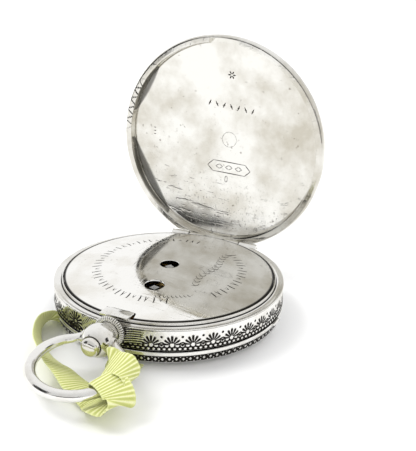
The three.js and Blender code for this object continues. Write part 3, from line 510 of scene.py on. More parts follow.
def silk():
    """Lime ribbon: a painted highlight on the ribs across it, painted shade between them, and a
    paler edge.
    """
    paint = Paint("ribbon_grosgrain")
    rib = paint.mark("rib")
    edge = paint.mark("edge")
    threads = paint.noise(1.0, 2, 0.5, paint.stretched((5200, 5200, 5200)))
    shade = paint.mix(
        paint.range(paint.noise(150, 4), 0.35, 0.7), rgb(0.68, 0.7, 0.26), rgb(0.56, 0.59, 0.18)
    )
    # Painted shade between the ribs, then a painted highlight on their crests.
    colour = paint.mix(paint.range(rib, 0.1, 0.6), rgb(0.47, 0.5, 0.15), shade)
    colour = paint.mix(paint.range(rib, 0.55, 1.0, 0.0, 0.8), colour, rgb(0.86, 0.86, 0.56))
    colour = paint.mix(paint.math("MULTIPLY", edge, 0.5), colour, rgb(0.72, 0.76, 0.36))
    colour = paint.mix(paint.range(threads, 0.5, 0.8, 0.0, 0.3), colour, rgb(0.3, 0.33, 0.08))
    paint.set(
        Base_Color=colour,
        Roughness=paint.range(threads, 0.3, 0.7, 0.55, 0.8),
        Sheen_Weight=0.15,
        Sheen_Roughness=0.4,
    )
    paint.relief(threads, 0.00006, 0.5)
    return paint.material


BRIGHT = rgb(0.86, 0.85, 0.82)
AGED = rgb(0.6, 0.57, 0.5)
polished = silver("silver_polished", BRIGHT, AGED, (0.07, 0.2), 0.35)
engraved = silver("silver_engraved", BRIGHT, AGED, (0.14, 0.3), 0.4, marked=True)
aged = silver("silver_aged", rgb(0.8, 0.79, 0.75), rgb(0.52, 0.49, 0.42), (0.04, 0.15), 0.75,
              0.6, marked=True)
inner = silver("silver_inner_cover", rgb(0.95, 0.94, 0.91), rgb(0.76, 0.73, 0.66),
               (0.04, 0.13), 0.5, 0.4, marked=True)
oxide = silver("silver_oxide", rgb(0.04, 0.036, 0.03), rgb(0.09, 0.08, 0.065), (0.35, 0.6))
steel = metal("steel_polished", rgb(0.6, 0.61, 0.62), rgb(0.4, 0.41, 0.43), (0.12, 0.3), 900,
              0.2, (1, 12, 1))
blued = metal("steel_blued", rgb(0.03, 0.06, 0.3), rgb(0.05, 0.03, 0.16), (0.12, 0.25), 500, 0.1)
gilt = metal("gilt_frosted", rgb(0.85, 0.64, 0.26), rgb(0.7, 0.48, 0.17), (0.25, 0.45), 3200, 0.6)
brass = metal("brass_brushed", rgb(0.8, 0.6, 0.25), rgb(0.62, 0.42, 0.15), (0.15, 0.35), 1400,
              0.3, (1, 1, 9))
white = enamel()
clear = glass()
black = ink()
lime = silk()

# ------------------------------------------------------------ ribbon
RIBBON_ROUTE = [
    ((-16.9, -13.9, 0.3), (0.50, -0.86, 0.00)),
    ((-18.6, -14.6, 0.4), (0.50, -0.86, 0.00)),
    ((-19.1, -16.9, 1.3), (0.47, -0.84, 0.27)),
    ((-19.1, -19.1, 2.0), (0.40, -0.72, 0.56)),
    ((-18.2, -22.5, 2.6), (0.38, -0.75, 0.54)),
    ((-16.2, -26.2, 2.9), (0.40, -0.78, 0.49)),
    ((-14.0, -28.9, 2.9), (0.44, -0.79, 0.43)),
    ((-11.1, -31.4, 2.8), (0.45, -0.78, 0.43)),
    ((-8.0, -33.4, 2.6), (0.36, -0.85, 0.39)),
    ((-4.9, -35.0, 2.4), (0.27, -0.91, 0.31)),
    ((-2.0, -36.6, 2.1), (0.18, -0.96, 0.23)),
    ((0.8, -38.1, 1.8), (0.08, -0.99, 0.11)),
    ((3.2, -39.1, 1.6), (-0.02, -1.00, -0.02)),
    ((5.3, -39.8, 1.5), (-0.13, -0.98, -0.13)),
    ((8.4, -42.7, 2.9), (-0.67, -0.73, -0.13)),
    ((10.6, -42.9, 3.4), (-0.61, -0.78, -0.14)),
    ((11.9, -42.5, 4.4), (-0.55, -0.82, -0.15)),
    ((11.3, -41.6, 5.6), (-0.49, -0.86, -0.16)),
    ((9.3, -40.5, 6.7), (-0.42, -0.89, -0.16)),
    ((6.9, -39.5, 6.9), (-0.35, -0.92, -0.17)),
    ((6.3, -38.7, 5.2), (-0.27, -0.95, -0.17)),
    ((7.4, -38.2, 4.2), (-0.20, -0.96, -0.18)),
    ((8.9, -37.9, 3.9), (-0.12, -0.98, -0.18)),
    ((10.4, -37.5, 4.5), (-0.04, -0.98, -0.18)),
    ((11.1, -37.0, 5.8), (0.04, -0.98, -0.18)),
    ((10.6, -36.5, 7.2), (0.11, -0.98, -0.18)),
    ((9.2, -36.2, 8.0), (0.19, -0.97, -0.18)),
    ((5.9, -35.4, 7.0), (0.34, -0.93, -0.14)),
    ((5.2, -32.9, 5.2), (0.42, -0.88, 0.21)),
    ((4.8, -31.4, 3.1), (0.62, -0.77, 0.15)),
    ((4.3, -29.6, 1.3), (0.86, -0.51, 0.03)),
    ((3.8, -27.3, 0.5), (0.99, -0.10, 0.00)),
    ((3.3, -23.6, 0.3), (0.99, -0.10, 0.00)),
]


def catmull(points, parts):
    """A smooth centripetal curve through the points."""
    points = np.array(points, float)
    points = np.vstack([2 * points[0] - points[1], points, 2 * points[-1] - points[-2]])
    out = []
    for p0, p1, p2, p3 in zip(points, points[1:], points[2:], points[3:]):
        knots = [0.0]
        for a, b in ((p0, p1), (p1, p2), (p2, p3)):
            knots.append(knots[-1] + max(np.linalg.norm(b - a) ** 0.5, 1e-6))
        for k in range(parts):
            t = knots[1] + (knots[2] - knots[1]) * k / parts

            def blend(a, b, i, j):
                share = (t - knots[i]) / (knots[j] - knots[i])
                return a * (1 - share) + b * share

            a1, a2, a3 = blend(p0, p1, 0, 1), blend(p1, p2, 1, 2), blend(p2, p3, 2, 3)
            out.append(blend(blend(a1, a2, 0, 2), blend(a2, a3, 1, 3), 1, 2))
    out.append(points[-2])
    return np.array(out)


def even(path, step):
    """The path's places at even spacing, as shares of its list of points."""
    run = np.concatenate([[0], np.cumsum(np.linalg.norm(np.diff(path, axis=0), axis=1))])
    at = np.linspace(0, run[-1], int(run[-1] / step) + 1)
    return np.interp(at, run, np.arange(len(path))), run[-1]


def pick(values, places):
    lower = np.minimum(places.astype(int), len(values) - 2)
    share = (places - lower)[:, None]
    return values[lower] * (1 - share) + values[lower + 1] * share


def make_ribbon():
    parts = 24
    path = catmull([p for p, _ in RIBBON_ROUTE], parts)
    widths = np.array([w for _, w in RIBBON_ROUTE], float)
    step = RIB_PITCH / 8
    places, length = even(path, step)
    centre = pick(path, places)
    side = pick(widths, places / parts)
    for _ in range(12):
        side[1:-1] = (side[:-2] + side[1:-1] + side[2:]) / 3
    along = np.gradient(centre, axis=0)
    along /= np.linalg.norm(along, axis=1, keepdims=True)
    side -= along * np.sum(side * along, axis=1, keepdims=True)
    side /= np.linalg.norm(side, axis=1, keepdims=True)
    face = np.cross(along, side)
    run = np.arange(len(centre)) * step
    # The rib wave shapes the ribs and also sets the painted highlight on them and the painted
    # shade between them.
    rib = 0.5 + 0.5 * np.cos(TURN * run / RIB_PITCH)
    columns = 13
    across = np.linspace(-1, 1, columns)
    shape = Shape()
    verts, ribs, edges = [], [], []
    for sign in (1, -1):
        for c in across:
            edge = float(abs(c) > 0.86)
            half = RIBBON_WIDTH / 2 + 0.05 * rib * (abs(c) == 1)
            thick = RIBBON_THICK * (0.5 if abs(c) < 0.95 else 0.22) + 0.028 * rib
            ripple = 0.03 * np.sin(run * 0.9 + 2.2 * c)
            place = centre + side * (half * c)[:, None]
            place += face * (sign * thick + ripple)[:, None]
            place[:, 2] = np.maximum(place[:, 2], 0.05)
            verts.append(place)
            ribs.append(rib)
            edges.append(np.full(len(run), edge))
    order = list(range(columns)) + list(range(2 * columns - 1, columns - 1, -1))
    grid = np.stack([verts[k] for k in order], 1)
    shape.add(
        grid, skin(*grid.shape[:2]),
        rib=np.stack([ribs[k] for k in order], 1).reshape(-1),
        edge=np.stack([edges[k] for k in order], 1).reshape(-1),
    )
    piece = solid("neck_ribbon", shape, lime, None, ("ribbon",), 60, merge=False)
    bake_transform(piece)
    [tuple(p * MM) for p in centre[::6]]


make_ribbon()


# ------------------------------------------------------------ case band
def fans(s, z, foot, count, height):
    """A row of engraved fans, with a small arch and a dot between neighbours."""
    pitch = TURN * BAND_R / count
    u, h = cell(s, pitch), z - foot
    rho = np.hypot(u, h)
    phi = np.arctan2(u, h)
    strokes = np.zeros(np.broadcast(s, z).shape)
    for k in range(-3, 4):
        width = 0.08 + 0.15 * np.clip(rho - 0.4, 0, 1.5)
        across = rho * np.sin(phi - k * 27 * DEG)
        strokes = np.maximum(strokes, bump(across, width))
    inside = (u / (pitch * 0.45)) ** 2 + (h / height) ** 2
    strokes *= bump(inside, 0.92) * (h > 0.02) * (rho > 0.42)
    gap = np.hypot(np.abs(u) - pitch / 2, h)
    arch = bump(gap - 0.55, 0.13) * (h > 0) + bump(gap, 0.26)
    high_gap = np.hypot(np.abs(u) - pitch / 2, h - height * 0.83)
    return np.clip(strokes + arch + bump(high_gap, 0.26), 0, 1)


def star(s, z, at_s, at_z, petals, reach):
    rho = np.hypot(s - at_s, z - at_z)
    phi = np.arctan2(s - at_s, z - at_z)
    across = rho * np.sin(cell(phi, TURN / petals))
    return bump(across, 0.07 + 0.09 * rho) * (rho < reach) * (rho > 0.3)


def band_engraving_and_shade(theta, r, z):
    s = theta * BAND_R
    foot = BAND_LOW + 1.32
    turn = (theta / DEG + 180) % 360 - 180
    dark = fans(s, z, foot, 38, 2.15)
    by_left = bump(turn + 109, 12)
    by_right = bump(turn + 80.5, 6)
    burst = star(s, z, (-112 % 360) * DEG * BAND_R, BAND_LOW + 2.0, 14, 2.2)
    hatch = bump(cell(s + 0.9 * z, 0.7), 0.14) * bump(cell(s - 1.3 * z, 2.1), 0.8)
    left = np.clip(burst + hatch * (np.abs(turn + 112) > 4.8), 0, 1)
    grooves = bump(cell(z + 0.25 * np.sin(s * 0.7), 0.5), 0.12)
    dark = dark * (1 - by_left) * (1 - by_right) + left * by_left + grooves * by_right
    border = TURN * BAND_R / 152
    u = cell(s, border)
    dark += bump(np.hypot(u, z - foot + 0.22), 0.2)
    dark += bump(z - foot + 0.47, 0.1) * bump(u, 0.4)
    bead_z = z - BAND_LOW - 0.5
    bead = np.hypot(u, bead_z)
    row = bump(bead_z, 0.36)
    dark += row * (1 - bump(bead, 0.34))
    # Painted shadow along the band's lower edge, in the gap to the bezel.
    dark += bump(z - BAND_LOW - 0.02, 0.2)
    dark += bump(z - BAND_TOP + 0.24, 0.05) * 0.8
    outer = (r > BAND_R - 0.13) & (z < BAND_TOP - 0.05)
    dark = np.clip(dark, 0, 1) * outer
    swell = 0.09 * row * np.sqrt(np.clip(1 - (bead / 0.5) ** 2, 0, 1))
    rise = -0.07 * dark + swell * outer - 0.05 * outer
    top_face = (z > BAND_TOP - 0.3) & (r < BAND_R - 0.3)
    # Painted shade in the groove at the foot of the lip on the top face.
    dark += top_face * bump(r - LIP_R - 0.14, 0.13) * (z < LIP_TOP - 0.2)
    return rise, dark


def ear_outline():
    """Side view of a case knuckle: a foot on the band and a round eye."""
    outline = [(PIN.y - 1.25, PIN.z - 0.1), (PIN.y - 1.25, PIN.z - 2.3)]
    outline.append((PIN.y + KNUCKLE_R * 0.86, PIN.z - KNUCKLE_R * 0.5))
    for k in range(9):
        angle = (-30 + 150 * k / 8) * DEG
        outline.append((PIN.y + KNUCKLE_R * math.cos(angle), PIN.z + KNUCKLE_R * math.sin(angle)))
    return outline


def along_x(a, b, c):
    return (c, a, b)


def make_band():
    ledge = CUVETTE_EDGE - CUVETTE_SHEET - 0.3
    outline = rounded([
        (BAND_R - BAND_WALL, 6.5), (BAND_R - 2.5, 6.1), (BAND_R - 2.5, BAND_LOW),
        (BAND_R - 0.1, BAND_LOW), (BAND_R, BAND_LOW + 0.1), (BAND_R, BAND_TOP - 0.12),
        (BAND_R - 0.12, BAND_TOP), (BAND_R - 0.45, BAND_TOP - 0.08),
        (LIP_R + 0.9, BAND_TOP - 0.24), (LIP_R + 0.4, BAND_TOP - 0.18),
        (LIP_R, BAND_TOP + 0.05), (LIP_R, LIP_TOP - 0.02), (LIP_R - 0.25, LIP_TOP),
        (LIP_R - 0.25, ledge), (BAND_R - BAND_WALL, ledge),
    ], 0.07, 1)
    outline = fine(outline, 0.095, lambda p: p[0] > BAND_R - 0.05)
    verts, faces, dark = revolve(outline, 1260, band_engraving_and_shade)
    x, y, z = verts.T
    near = (np.abs(x) < KNUCKLE_ENDS[1] + KNUCKLE_GAP) & (np.abs(y - PIN.y) < 2.1) & (y > 0)
    arch = PIN.z - np.sqrt(np.clip(2.1 ** 2 - (y - PIN.y) ** 2, 0, None))
    verts[:, 2] = np.where(near, np.minimum(z, arch), z)
    shape = Shape().add(verts, faces, dark=dark)
    for side in (-1, 1):
        ends = (side * KNUCKLE_ENDS[1], side * KNUCKLE_ENDS[2])
        shape.add(*prism(ear_outline(), ends, along_x, 0.12))
    ear = BEZEL_HINGE
    shape.add(*pin((ear.x, -1.05, ear.z), (ear.x, 1.05, ear.z), KNUCKLE_R))
    shape.add(*block((ear.x, -1.05, ear.z + 0.15), (1 - BAND_R, 1.05, ear.z + 0.78)))
    solid("case_band_engraved", shape, engraved, "case", ("case_band",))
    rod = Shape().add(*pin((low("hinge_pin").x, PIN.y, PIN.z), (high("hinge_pin").x, PIN.y, PIN.z),
                           PIN_R, 24, 0.1))
    solid("cover_hinge_pin", rod, steel, "case", ("hinge_pin",))


# ------------------------------------------------------------ covers
def dome(r1, r2, crown, edge_r, edge_z, steps):
    """Points of a shallow dome from radius r1 to r2, highest on the axis."""
    out = []
    for k in range(steps + 1):
        r = r1 + (r2 - r1) * k / steps
        out.append((r, edge_z + (crown - edge_z) * (1 - (r / edge_r) ** 2)))
    return out


def cover_floor(x, y):
    """Height of the inside of the closed back cover."""
    edge_r = COVER_INNER_R - 0.55
    top = COVER_TOP - COVER_SHEET
    return top + (COVER_WALL_TOP + 0.05 - top) * (x * x + y * y) / edge_r ** 2


def cuvette_top(x, y):
    edge_r = CUVETTE_R - 0.15
    return CUVETTE_TOP + (CUVETTE_EDGE - CUVETTE_TOP) * (x * x + y * y) / edge_r ** 2


def stroke(points, width, height_at, proud):
    """One engraved line: a slim closed body that lies on a surface, pointed at its ends."""
    points = np.array(points, float)
    n = len(points)
    along = np.gradient(points, axis=0)
    along /= np.maximum(np.linalg.norm(along, axis=1, keepdims=True), 1e-9)
    side = np.stack([-along[:, 1], along[:, 0]], 1)
    taper = np.sqrt(np.clip(np.sin(np.linspace(0.25, math.pi - 0.25, n)), 0, 1)) * width / 2
    verts = []
    for share, rise in ((-1, 0), (0, 1), (1, 0), (0, -1)):
        flat = points + side * taper[:, None] * share
        z = height_at(flat[:, 0], flat[:, 1]) + proud * rise
        verts.append(np.column_stack([flat, z]))
    return np.stack(verts, 1).reshape(-1, 3), skin(n, 4)


def engraver(height_at, width, proud):
    """A shape for engraved marks, and the function that adds a stroke to it."""
    marks = Shape()

    def cut_line(points, width=width, proud=proud):
        marks.add(*stroke(points, width, height_at, proud))

    return marks, cut_line


def curve(start, bend, end, parts=6):
    start, bend, end = (np.array(p, float) for p in (start, bend, end))
    t = np.linspace(0, 1, parts + 1)[:, None]
    return (1 - t) ** 2 * start + 2 * t * (1 - t) * bend + t * t * end


def opened(verts):
    """From the closed place of the back cover to its open one."""
    out = verts.copy()
    y, z = verts[:, 1] - PIN.y, verts[:, 2] - PIN.z
    out[:, 1] = PIN.y + y * math.cos(COVER_OPEN) + z * math.sin(COVER_OPEN)
    out[:, 2] = PIN.z - y * math.sin(COVER_OPEN) + z * math.cos(COVER_OPEN)
    return out


def cover_work(theta, r, z):
    """Wavy engine turning outside with painted shade in its troughs, striations and file marks on
    the rim's face, and two patches of painted shade inside along the wall.
    """
    shape = np.broadcast(theta, r, z).shape
    dark, rise = np.zeros(shape), np.zeros(shape)
    outside = (z > COVER_WALL_TOP + 0.9) & (z > cover_floor(r, 0) + 0.3)
    wave = np.cos(theta * 60 + 5.5 * np.sin(r * 0.75)) * np.cos(r * 4.2)
    field = np.clip((r - 5.2) / 0.4, 0, 1) * np.clip((22.6 - r) / 0.5, 0, 1)
    rise += 0.035 * wave * field * outside
    rise -= 0.06 * (bump(r - 5.0, 0.12) + bump(r - 22.9, 0.12)) * outside
    # Painted shade in the troughs of the engine turning.
    dark += outside * field * np.clip(-wave - 0.1, 0, 1) * 0.45
    dark += outside * (bump(r - 5.0, 0.2) + bump(r - 22.9, 0.2)) * 0.8
    turn = (theta / DEG) % 360
    face = (z < COVER_RIM + 0.08) & (r > COVER_INNER_R)
    lines = bump(cell(theta * 24 + 0.4 * np.sin(theta * 37), 0.62), 0.05)
    dark += face * lines * 0.25 * (0.5 + 0.5 * np.sin(theta * 13))
    slant = theta * 24 + 0.55 * (r - 24) * np.sign(np.sin(theta * 24 / 1.3 * math.pi))
    notch = bump(cell(slant, 1.3), 0.13) * bump((turn - 197) / 18, 0.9)
    dark += face * notch
    # Two patches of painted shade inside the cover, in the corner along its wall.
    corner = (z > COVER_RIM + 0.4) & (r > COVER_INNER_R - 2.6) & (r < COVER_INNER_R + 0.1)
    corner &= z < cover_floor(r, 0) + 0.2
    for middle, span, depth in ((150, 26, 2.3), (208, 16, 1.5)):
        half = depth / 2 * np.clip(1 - ((turn - middle) / span) ** 2, 0, 1)
        dark += corner * 0.4 * bump(COVER_INNER_R - r - half, 0.05 + half) * (half > 0)
    return rise, np.clip(dark, 0, 1)


def make_back_cover():
    edge_r, floor_r = COVER_R - 0.7, COVER_INNER_R - 0.55
    inside = dome(0, floor_r, COVER_TOP - COVER_SHEET, floor_r, COVER_WALL_TOP + 0.05, 34)
    outside = dome(edge_r, 0, COVER_TOP, edge_r, COVER_WALL_TOP + 1.1, 76)
    side = rounded([
        (floor_r + 0.2, COVER_WALL_TOP), (COVER_INNER_R - 0.1, COVER_WALL_TOP - 0.35),
        (COVER_INNER_R, COVER_RIM + 0.05), (COVER_INNER_R + 0.08, COVER_RIM),
        (COVER_R - 0.3, COVER_RIM), (COVER_R - 0.06, COVER_RIM + 0.35),
        (COVER_R, COVER_RIM + 0.8), (COVER_R, COVER_RIM + 1.25),
        (COVER_R - 0.2, COVER_WALL_TOP + 0.4),
    ], 0.12, 2)
    side = [p for p in side if p[1] <= COVER_WALL_TOP + 0.4]
    outline = fine(inside + side + outside, 0.3, lambda p: p[1] < COVER_WALL_TOP + 0.5,
                   closed=False)
    verts, faces, dark = revolve(outline, 600, cover_work, closed=False)
    x, y, z = verts.T
    reach = KNUCKLE_R + KNUCKLE_GAP
    pin_room = (np.abs(x) < KNUCKLE_ENDS[2] + KNUCKLE_GAP) & (np.abs(y - PIN.y) < reach)
    over = PIN.z + np.sqrt(np.clip(reach ** 2 - (y - PIN.y) ** 2, 0, None))
    z = np.where(pin_room & (y > 0), np.maximum(z, over), z)
    radius = np.hypot(x, y)
    groove_r = 24.4
    groove = (np.abs(x) < CATCH_HIGH.x + 0.55) & (y < 0) & (radius < groove_r)
    groove &= (radius > COVER_INNER_R - 0.5) & (z < CATCH_HIGH.z + 0.6)
    push = np.where(groove, groove_r / np.maximum(radius, 1), 1)
    verts = np.column_stack([x * push, y * push, z])
    shape = Shape().add(verts, faces, dark=dark)
    first, last = KNUCKLE_ENDS[0] + KNUCKLE_GAP, KNUCKLE_ENDS[1] - KNUCKLE_GAP
    for sign in (-1, 1):
        a, b = sorted((sign * first, sign * last))
        shape.add(*pin((a, PIN.y, PIN.z), (b, PIN.y, PIN.z), KNUCKLE_R))
        shape.add(*block((a, PIN.y - 0.1, PIN.z), (b, PIN.y + 0.75, PIN.z + 1.3)))
    shape.moved(opened)
    solid("back_cover_shell", shape, aged, "back_cover", ("back_cover",))
    marks, cut_line = engraver(cover_floor, 0.17, 0.012)

    def petal_mark(at, size, petals):
        for k in range(petals):
            way = heading(TURN * k / petals)
            cut_line([at + way * size * t for t in (0.25, 0.5, 0.75, 1.0)], 0.34)

    def frame_line(corners, parts, width):
        for a, b in zip(corners, corners[1:] + corners[:1]):
            cut_line(curve(a, (np.array(a) + b) / 2, b, parts), width)

    def oval_line(at, reach, count, step, *cut):
        points = [(at[0] + reach[0] * math.cos(a), at[1] + reach[1] * math.sin(a))
                  for a in np.linspace(0, TURN, count + 1)]
        for k in range(0, count, step):
            cut_line(points[k:k + step + 1], *cut)

    petal_mark((1.0, -15.8), 0.95, 6)
    for k in range(7):
        share = k / 6
        centre = np.array([-4.5 + 10.9 * share, -8.7 + 0.9 * share])
        tilt = np.array([0.28, 0.62]) if k % 2 else np.array([-0.28, 0.62])
        cut_line([centre - tilt, centre - tilt * 0.3, centre + tilt * 0.3, centre + tilt], 0.3)
        cut_line([centre + (-0.3, 0), centre + (0, 0), centre + (0.3, 0)], 0.22)
    oval_line((0.72, -0.28), (1.8, 1.8), 48, 6, 0.09, 0.006)
    hexagon = [(-4.5, 6.5), (-3.1, 5.15), (5.2, 5.3), (6.55, 6.65), (5.2, 7.95), (-3.1, 7.8)]
    frame_line(hexagon, 8, 0.2)
    for k in range(3):
        centre = np.array([-1.5 + 2.5 * k, 6.5 + 0.03 * k])
        frame_line([centre + p for p in ((0, -0.55), (0.9, 0), (0, 0.55), (-0.9, 0))], 3, 0.16)
    oval_line((0.5, 9.4), (0.32, 0.75), 12, 3, 0.16)
    for k in range(3):
        cut_line([(-18.6, -1.0 + 0.8 * k), (-18.35, -0.9 + 0.8 * k), (-18.1, -1.0 + 0.8 * k)], 0.2)
    marks.moved(opened)
    solid("back_cover_marks", marks, oxide, "back_cover", merge=False)


def drill(at, outline, segments=72):
    """A cutter round an upright axis; outline gives (radius, height) from below to above."""
    profile = [(0, outline[0][1]), *outline, (0, outline[-1][1])]
    return turned(profile, segments).moved(lambda v: v + np.array([at.x, at.y, 0]))


def cut_holes(piece, cutters):
    """Cuts bodies of revolution out of a piece."""
    for name, shape in cutters:
        cutter = solid(name, shape, oxide, None)
        change = piece.modifiers.new("hole", "BOOLEAN")
        change.operation, change.object, change.solver = "DIFFERENCE", cutter, "EXACT"
        bpy.context.view_layer.update()
        graph = bpy.context.evaluated_depsgraph_get()
        mesh = bpy.data.meshes.new_from_object(piece.evaluated_get(graph))
        piece.modifiers.clear()
        piece.data = mesh
        bpy.data.objects.remove(cutter)
    mesh = piece.data
    mesh.polygons.foreach_set("use_smooth", [True] * len(mesh.polygons))
    mesh.set_sharp_from_angle(angle=35 * DEG)


def make_cuvette():
    floor_r, edge_r = CUVETTE_R - 0.7, CUVETTE_R - 0.15
    under = CUVETTE_EDGE - CUVETTE_SHEET
    inside = dome(0, floor_r, CUVETTE_TOP - CUVETTE_SHEET, floor_r, under, 24)
    outside = dome(edge_r, 0, CUVETTE_TOP, edge_r, CUVETTE_EDGE, 44)
    wall = [(CUVETTE_R, under), (CUVETTE_R, CUVETTE_EDGE - 0.12),
            (CUVETTE_R - 0.05, CUVETTE_EDGE - 0.03)]

    def painted_edge_shade(theta, r, z):
        # Painted shade round the cuvette's edge, at the gap to the case.
        line = bump(r - CUVETTE_R, 0.2) * (z > under) + 0 * theta
        return 0 * line, line

    outline = np.array(inside + wall + outside)
    verts, faces, dark = revolve(outline, 360, painted_edge_shade, closed=False)
    x, y, z = verts.T
    flat = PIN.y - KNUCKLE_R - 0.2
    y = np.where((np.abs(x) < 8) & (y > flat), flat, y)
    front = CATCH_HIGH.y + 0.65
    y = np.where((np.abs(x) < CATCH_HIGH.x + 0.15) & (y < front), front, y)
    shape = Shape().add(np.column_stack([x, y, z]), faces, dark=dark)
    piece = solid("cuvette_shell", shape, inner, "cuvette", ("cuvette",))
    cutters = []
    for name, at, radius in (("setting", SETTING, 2.05), ("winding", WINDING, 2.1)):
        top = cuvette_top(at.x, at.y)
        cutters.append((name, drill(at, [
            (radius, top - 3), (radius, top - 0.1), (radius + 0.08, top - 0.02),
            (radius + 0.3, top + 1),
        ])))
    cut_holes(piece, cutters)
    lug = Shape()
    end = KNUCKLE_ENDS[0]
    lug.add(*pin((-end, PIN.y, PIN.z), (end, PIN.y, PIN.z), KNUCKLE_R))
    lug.add(*block((-end, flat - 0.8, under + 0.02), (end, PIN.y, CUVETTE_EDGE - 0.12)))
    solid("cuvette_knuckle", lug, polished, "cuvette")
    marks, cut_line = engraver(cuvette_top, 0.16, 0.01)

    def polar(r, degrees):
        return r * heading(degrees * DEG)

    ring_in, ring_out = 14.9, 16.7
    rng = np.random.default_rng(7)
    for start, end in ((92, 296), (-28, 58)):
        k, angle = 0, start
        while angle < end:
            lean = rng.uniform(-0.6, 0.6)
            kind = k % 4
            lower, upper = polar(ring_in, angle), polar(ring_out, angle + lean)
            if kind in (0, 2):
                cut_line(curve(lower, polar(15.8, angle + 1.6 * lean), upper, 5), 0.3)
                cut_line([polar(ring_in, angle - 0.9), lower, polar(ring_in, angle + 0.9)], 0.13)
                cut_line([polar(ring_out, angle - 0.9 + lean), upper,
                          polar(ring_out, angle + 0.9 + lean)], 0.13)
            if kind == 1:
                cut_line(curve(polar(ring_in, angle - 1.3), polar(16, angle), upper, 4), 0.22)
                cut_line(curve(polar(ring_in, angle + 1.3), polar(16, angle), upper, 4), 0.13)
            if kind == 3:
                cut_line(curve(polar(15.1, angle - 1), polar(16.9, angle), polar(15.1, angle + 1)),
                         0.14)
                cut_line([polar(15.7, angle), polar(15.9, angle), polar(16.1, angle)], 0.3)
            angle += 5.1 + rng.uniform(-0.5, 0.5)
            k += 1
    for k in range(13):
        y = -6.5 + 1.5 * k
        sway = 8.3 + 0.5 * math.sin(y * 0.5)
        cut_line(curve((sway, y), (sway + 1.5, y + 0.2), (sway + 1.2, y + 1.3), 5), 0.2)
        curl = curve((sway + 1.0, y + 0.2), (sway - 0.3, y + 0.6), (sway - 0.2, y + 1.2), 5)
        cut_line(curl, 0.12)
    for k in range(9):
        angle = -75 + 3.4 * k
        cut_line(curve(polar(13.9, angle), polar(14.9, angle + 0.5), polar(14.6, angle + 2.2), 4),
                 0.18)
    solid("cuvette_marks", marks, oxide, "cuvette", merge=False)


def make_catch():
    shape = Shape().add(*block(CATCH_LOW, CATCH_HIGH, 0.08))
    middle = (CATCH_LOW + CATCH_HIGH) / 2
    for k in range(5):
        x = middle.x - 1.9 + 0.95 * k
        shape.add(*pin((x, CATCH_LOW.y + 0.5, CATCH_HIGH.z - 0.04),
                       (x, CATCH_LOW.y + 1.1, CATCH_HIGH.z - 0.04), 0.09, 10, 0.03))
    solid("lock_catch_plate", shape, polished, "lock_catch", ("lock_catch",))


# ------------------------------------------------------------ bezel and crystal
def bezel_engraving_and_shade(theta, r, z):
    s = theta * BAND_R
    top, foot = BEZEL_TOP - 0.95, 1.4
    outer = (r > 24.3) & (z > foot - 0.05) & (z < top + 0.05)
    middle = (top + foot) / 2
    lozenge = np.abs(cell(s, TURN * BAND_R / 112)) / 0.4 + np.abs(z - middle) / 0.62
    offset = np.abs(np.abs(z - middle) - 0.5)
    inset = np.abs(cell(s + 0.7, TURN * BAND_R / 112)) / 0.3 + offset / 0.3
    field = bump(z - middle, 1.0)
    bright = np.clip(bump(lozenge, 0.9) + bump(inset, 0.9), 0, 1)
    dark = field * (1 - bright)
    rise = 0.07 * field * bright
    for edge, lean in ((top - 0.22, 1), (foot + 0.22, -1)):
        rope = bump(cell(s + lean * 1.2 * (z - edge), 0.56), 0.2)
        near = bump(z - edge, 0.22)
        dark += near * (1 - rope)
        rise += 0.06 * near * rope
    # The engraving is kept to the outer face; the band added at the top edge is painted shadow in
    # the gap to the case band.
    dark = np.clip(dark, 0, 1) * outer + bump(z - BEZEL_TOP, 0.16) * (r > BAND_R - 0.6)
    return (rise - 0.05) * outer - 0.05 * dark, dark


def make_bezel():
    seat = BEZEL_IN - 0.45
    outline = rounded([
        (BEZEL_IN, BEZEL_TOP), (BEZEL_IN, 2.0), (seat, 2.0), (seat, 1.3),
        (BAND_R - 2.4, 0.8), (BAND_R - 1.4, 0.85), (BAND_R - 0.6, 1.4),
        (BAND_R - 0.12, BEZEL_TOP - 1.2), (BAND_R, BEZEL_TOP - 0.9),
        (BAND_R, BEZEL_TOP - 0.25), (BAND_R - 0.2, BEZEL_TOP),
    ], 0.14, 2)
    outline = fine(outline, 0.08, lambda p: p[0] > 24.3 and 1.3 < p[1] < BEZEL_TOP)
    verts, faces, dark = revolve(outline, 1500, bezel_engraving_and_shade)
    x, y, z = verts.T
    room = (np.hypot(x - BEZEL_HINGE.x, z - BEZEL_HINGE.z) < 1.1) & (np.abs(y) < 1.35)
    x = np.where(room, BEZEL_HINGE.x + 1.1, x)
    shape = Shape().add(np.column_stack([x, y, z]), faces, dark=dark)
    hinge = BEZEL_HINGE
    for a, b in ((1.35, 3.6), (-3.6, -1.35)):
        shape.add(*pin((hinge.x, a, hinge.z), (hinge.x, b, hinge.z), KNUCKLE_R))
        shape.add(*block((hinge.x, a, hinge.z - 0.78), (1 - BAND_R, b, hinge.z - 0.15)))
    shape.add(*block((BAND_R - 0.6, -1.6, BEZEL_TOP - 0.65),
                     (BAND_R + 0.45, 1.6, BEZEL_TOP - 0.12)))
    solid("bezel_ring", shape, engraved, "bezel", ("bezel",))
    rod = Shape().add(*pin((hinge.x, low("bezel_hinge_pin").y, hinge.z),
                           (hinge.x, high("bezel_hinge_pin").y, hinge.z), PIN_R, 24, 0.1))
    solid("bezel_pin", rod, steel, "case", ("bezel_hinge_pin",))
    edge = BEZEL_IN - 0.15
    lens = [(0, 0), (9.5, 0), (12, 0.12), (15, 0.35), (18, 0.75), (seat - 0.15, 1.25),
            (seat - 0.15, 2.15), (edge, 2.15), (edge, 2.7), (edge - 1.5, 2.1), (15, 1.3),
            (9.5, 0.9), (0, 0.9)]
    disc = turned(lens, 200)
    solid("crystal_glass_disc", disc, clear, "bezel", ("crystal",))


# ------------------------------------------------------------ pendant, bow
def about_y(centre):
    """Turns a ring round Z into one round Y, with its top towards the case."""
    def change(v):
        return np.column_stack([centre[0] + v[:, 0], centre[1] + v[:, 2], centre[2] - v[:, 1]])
    return change


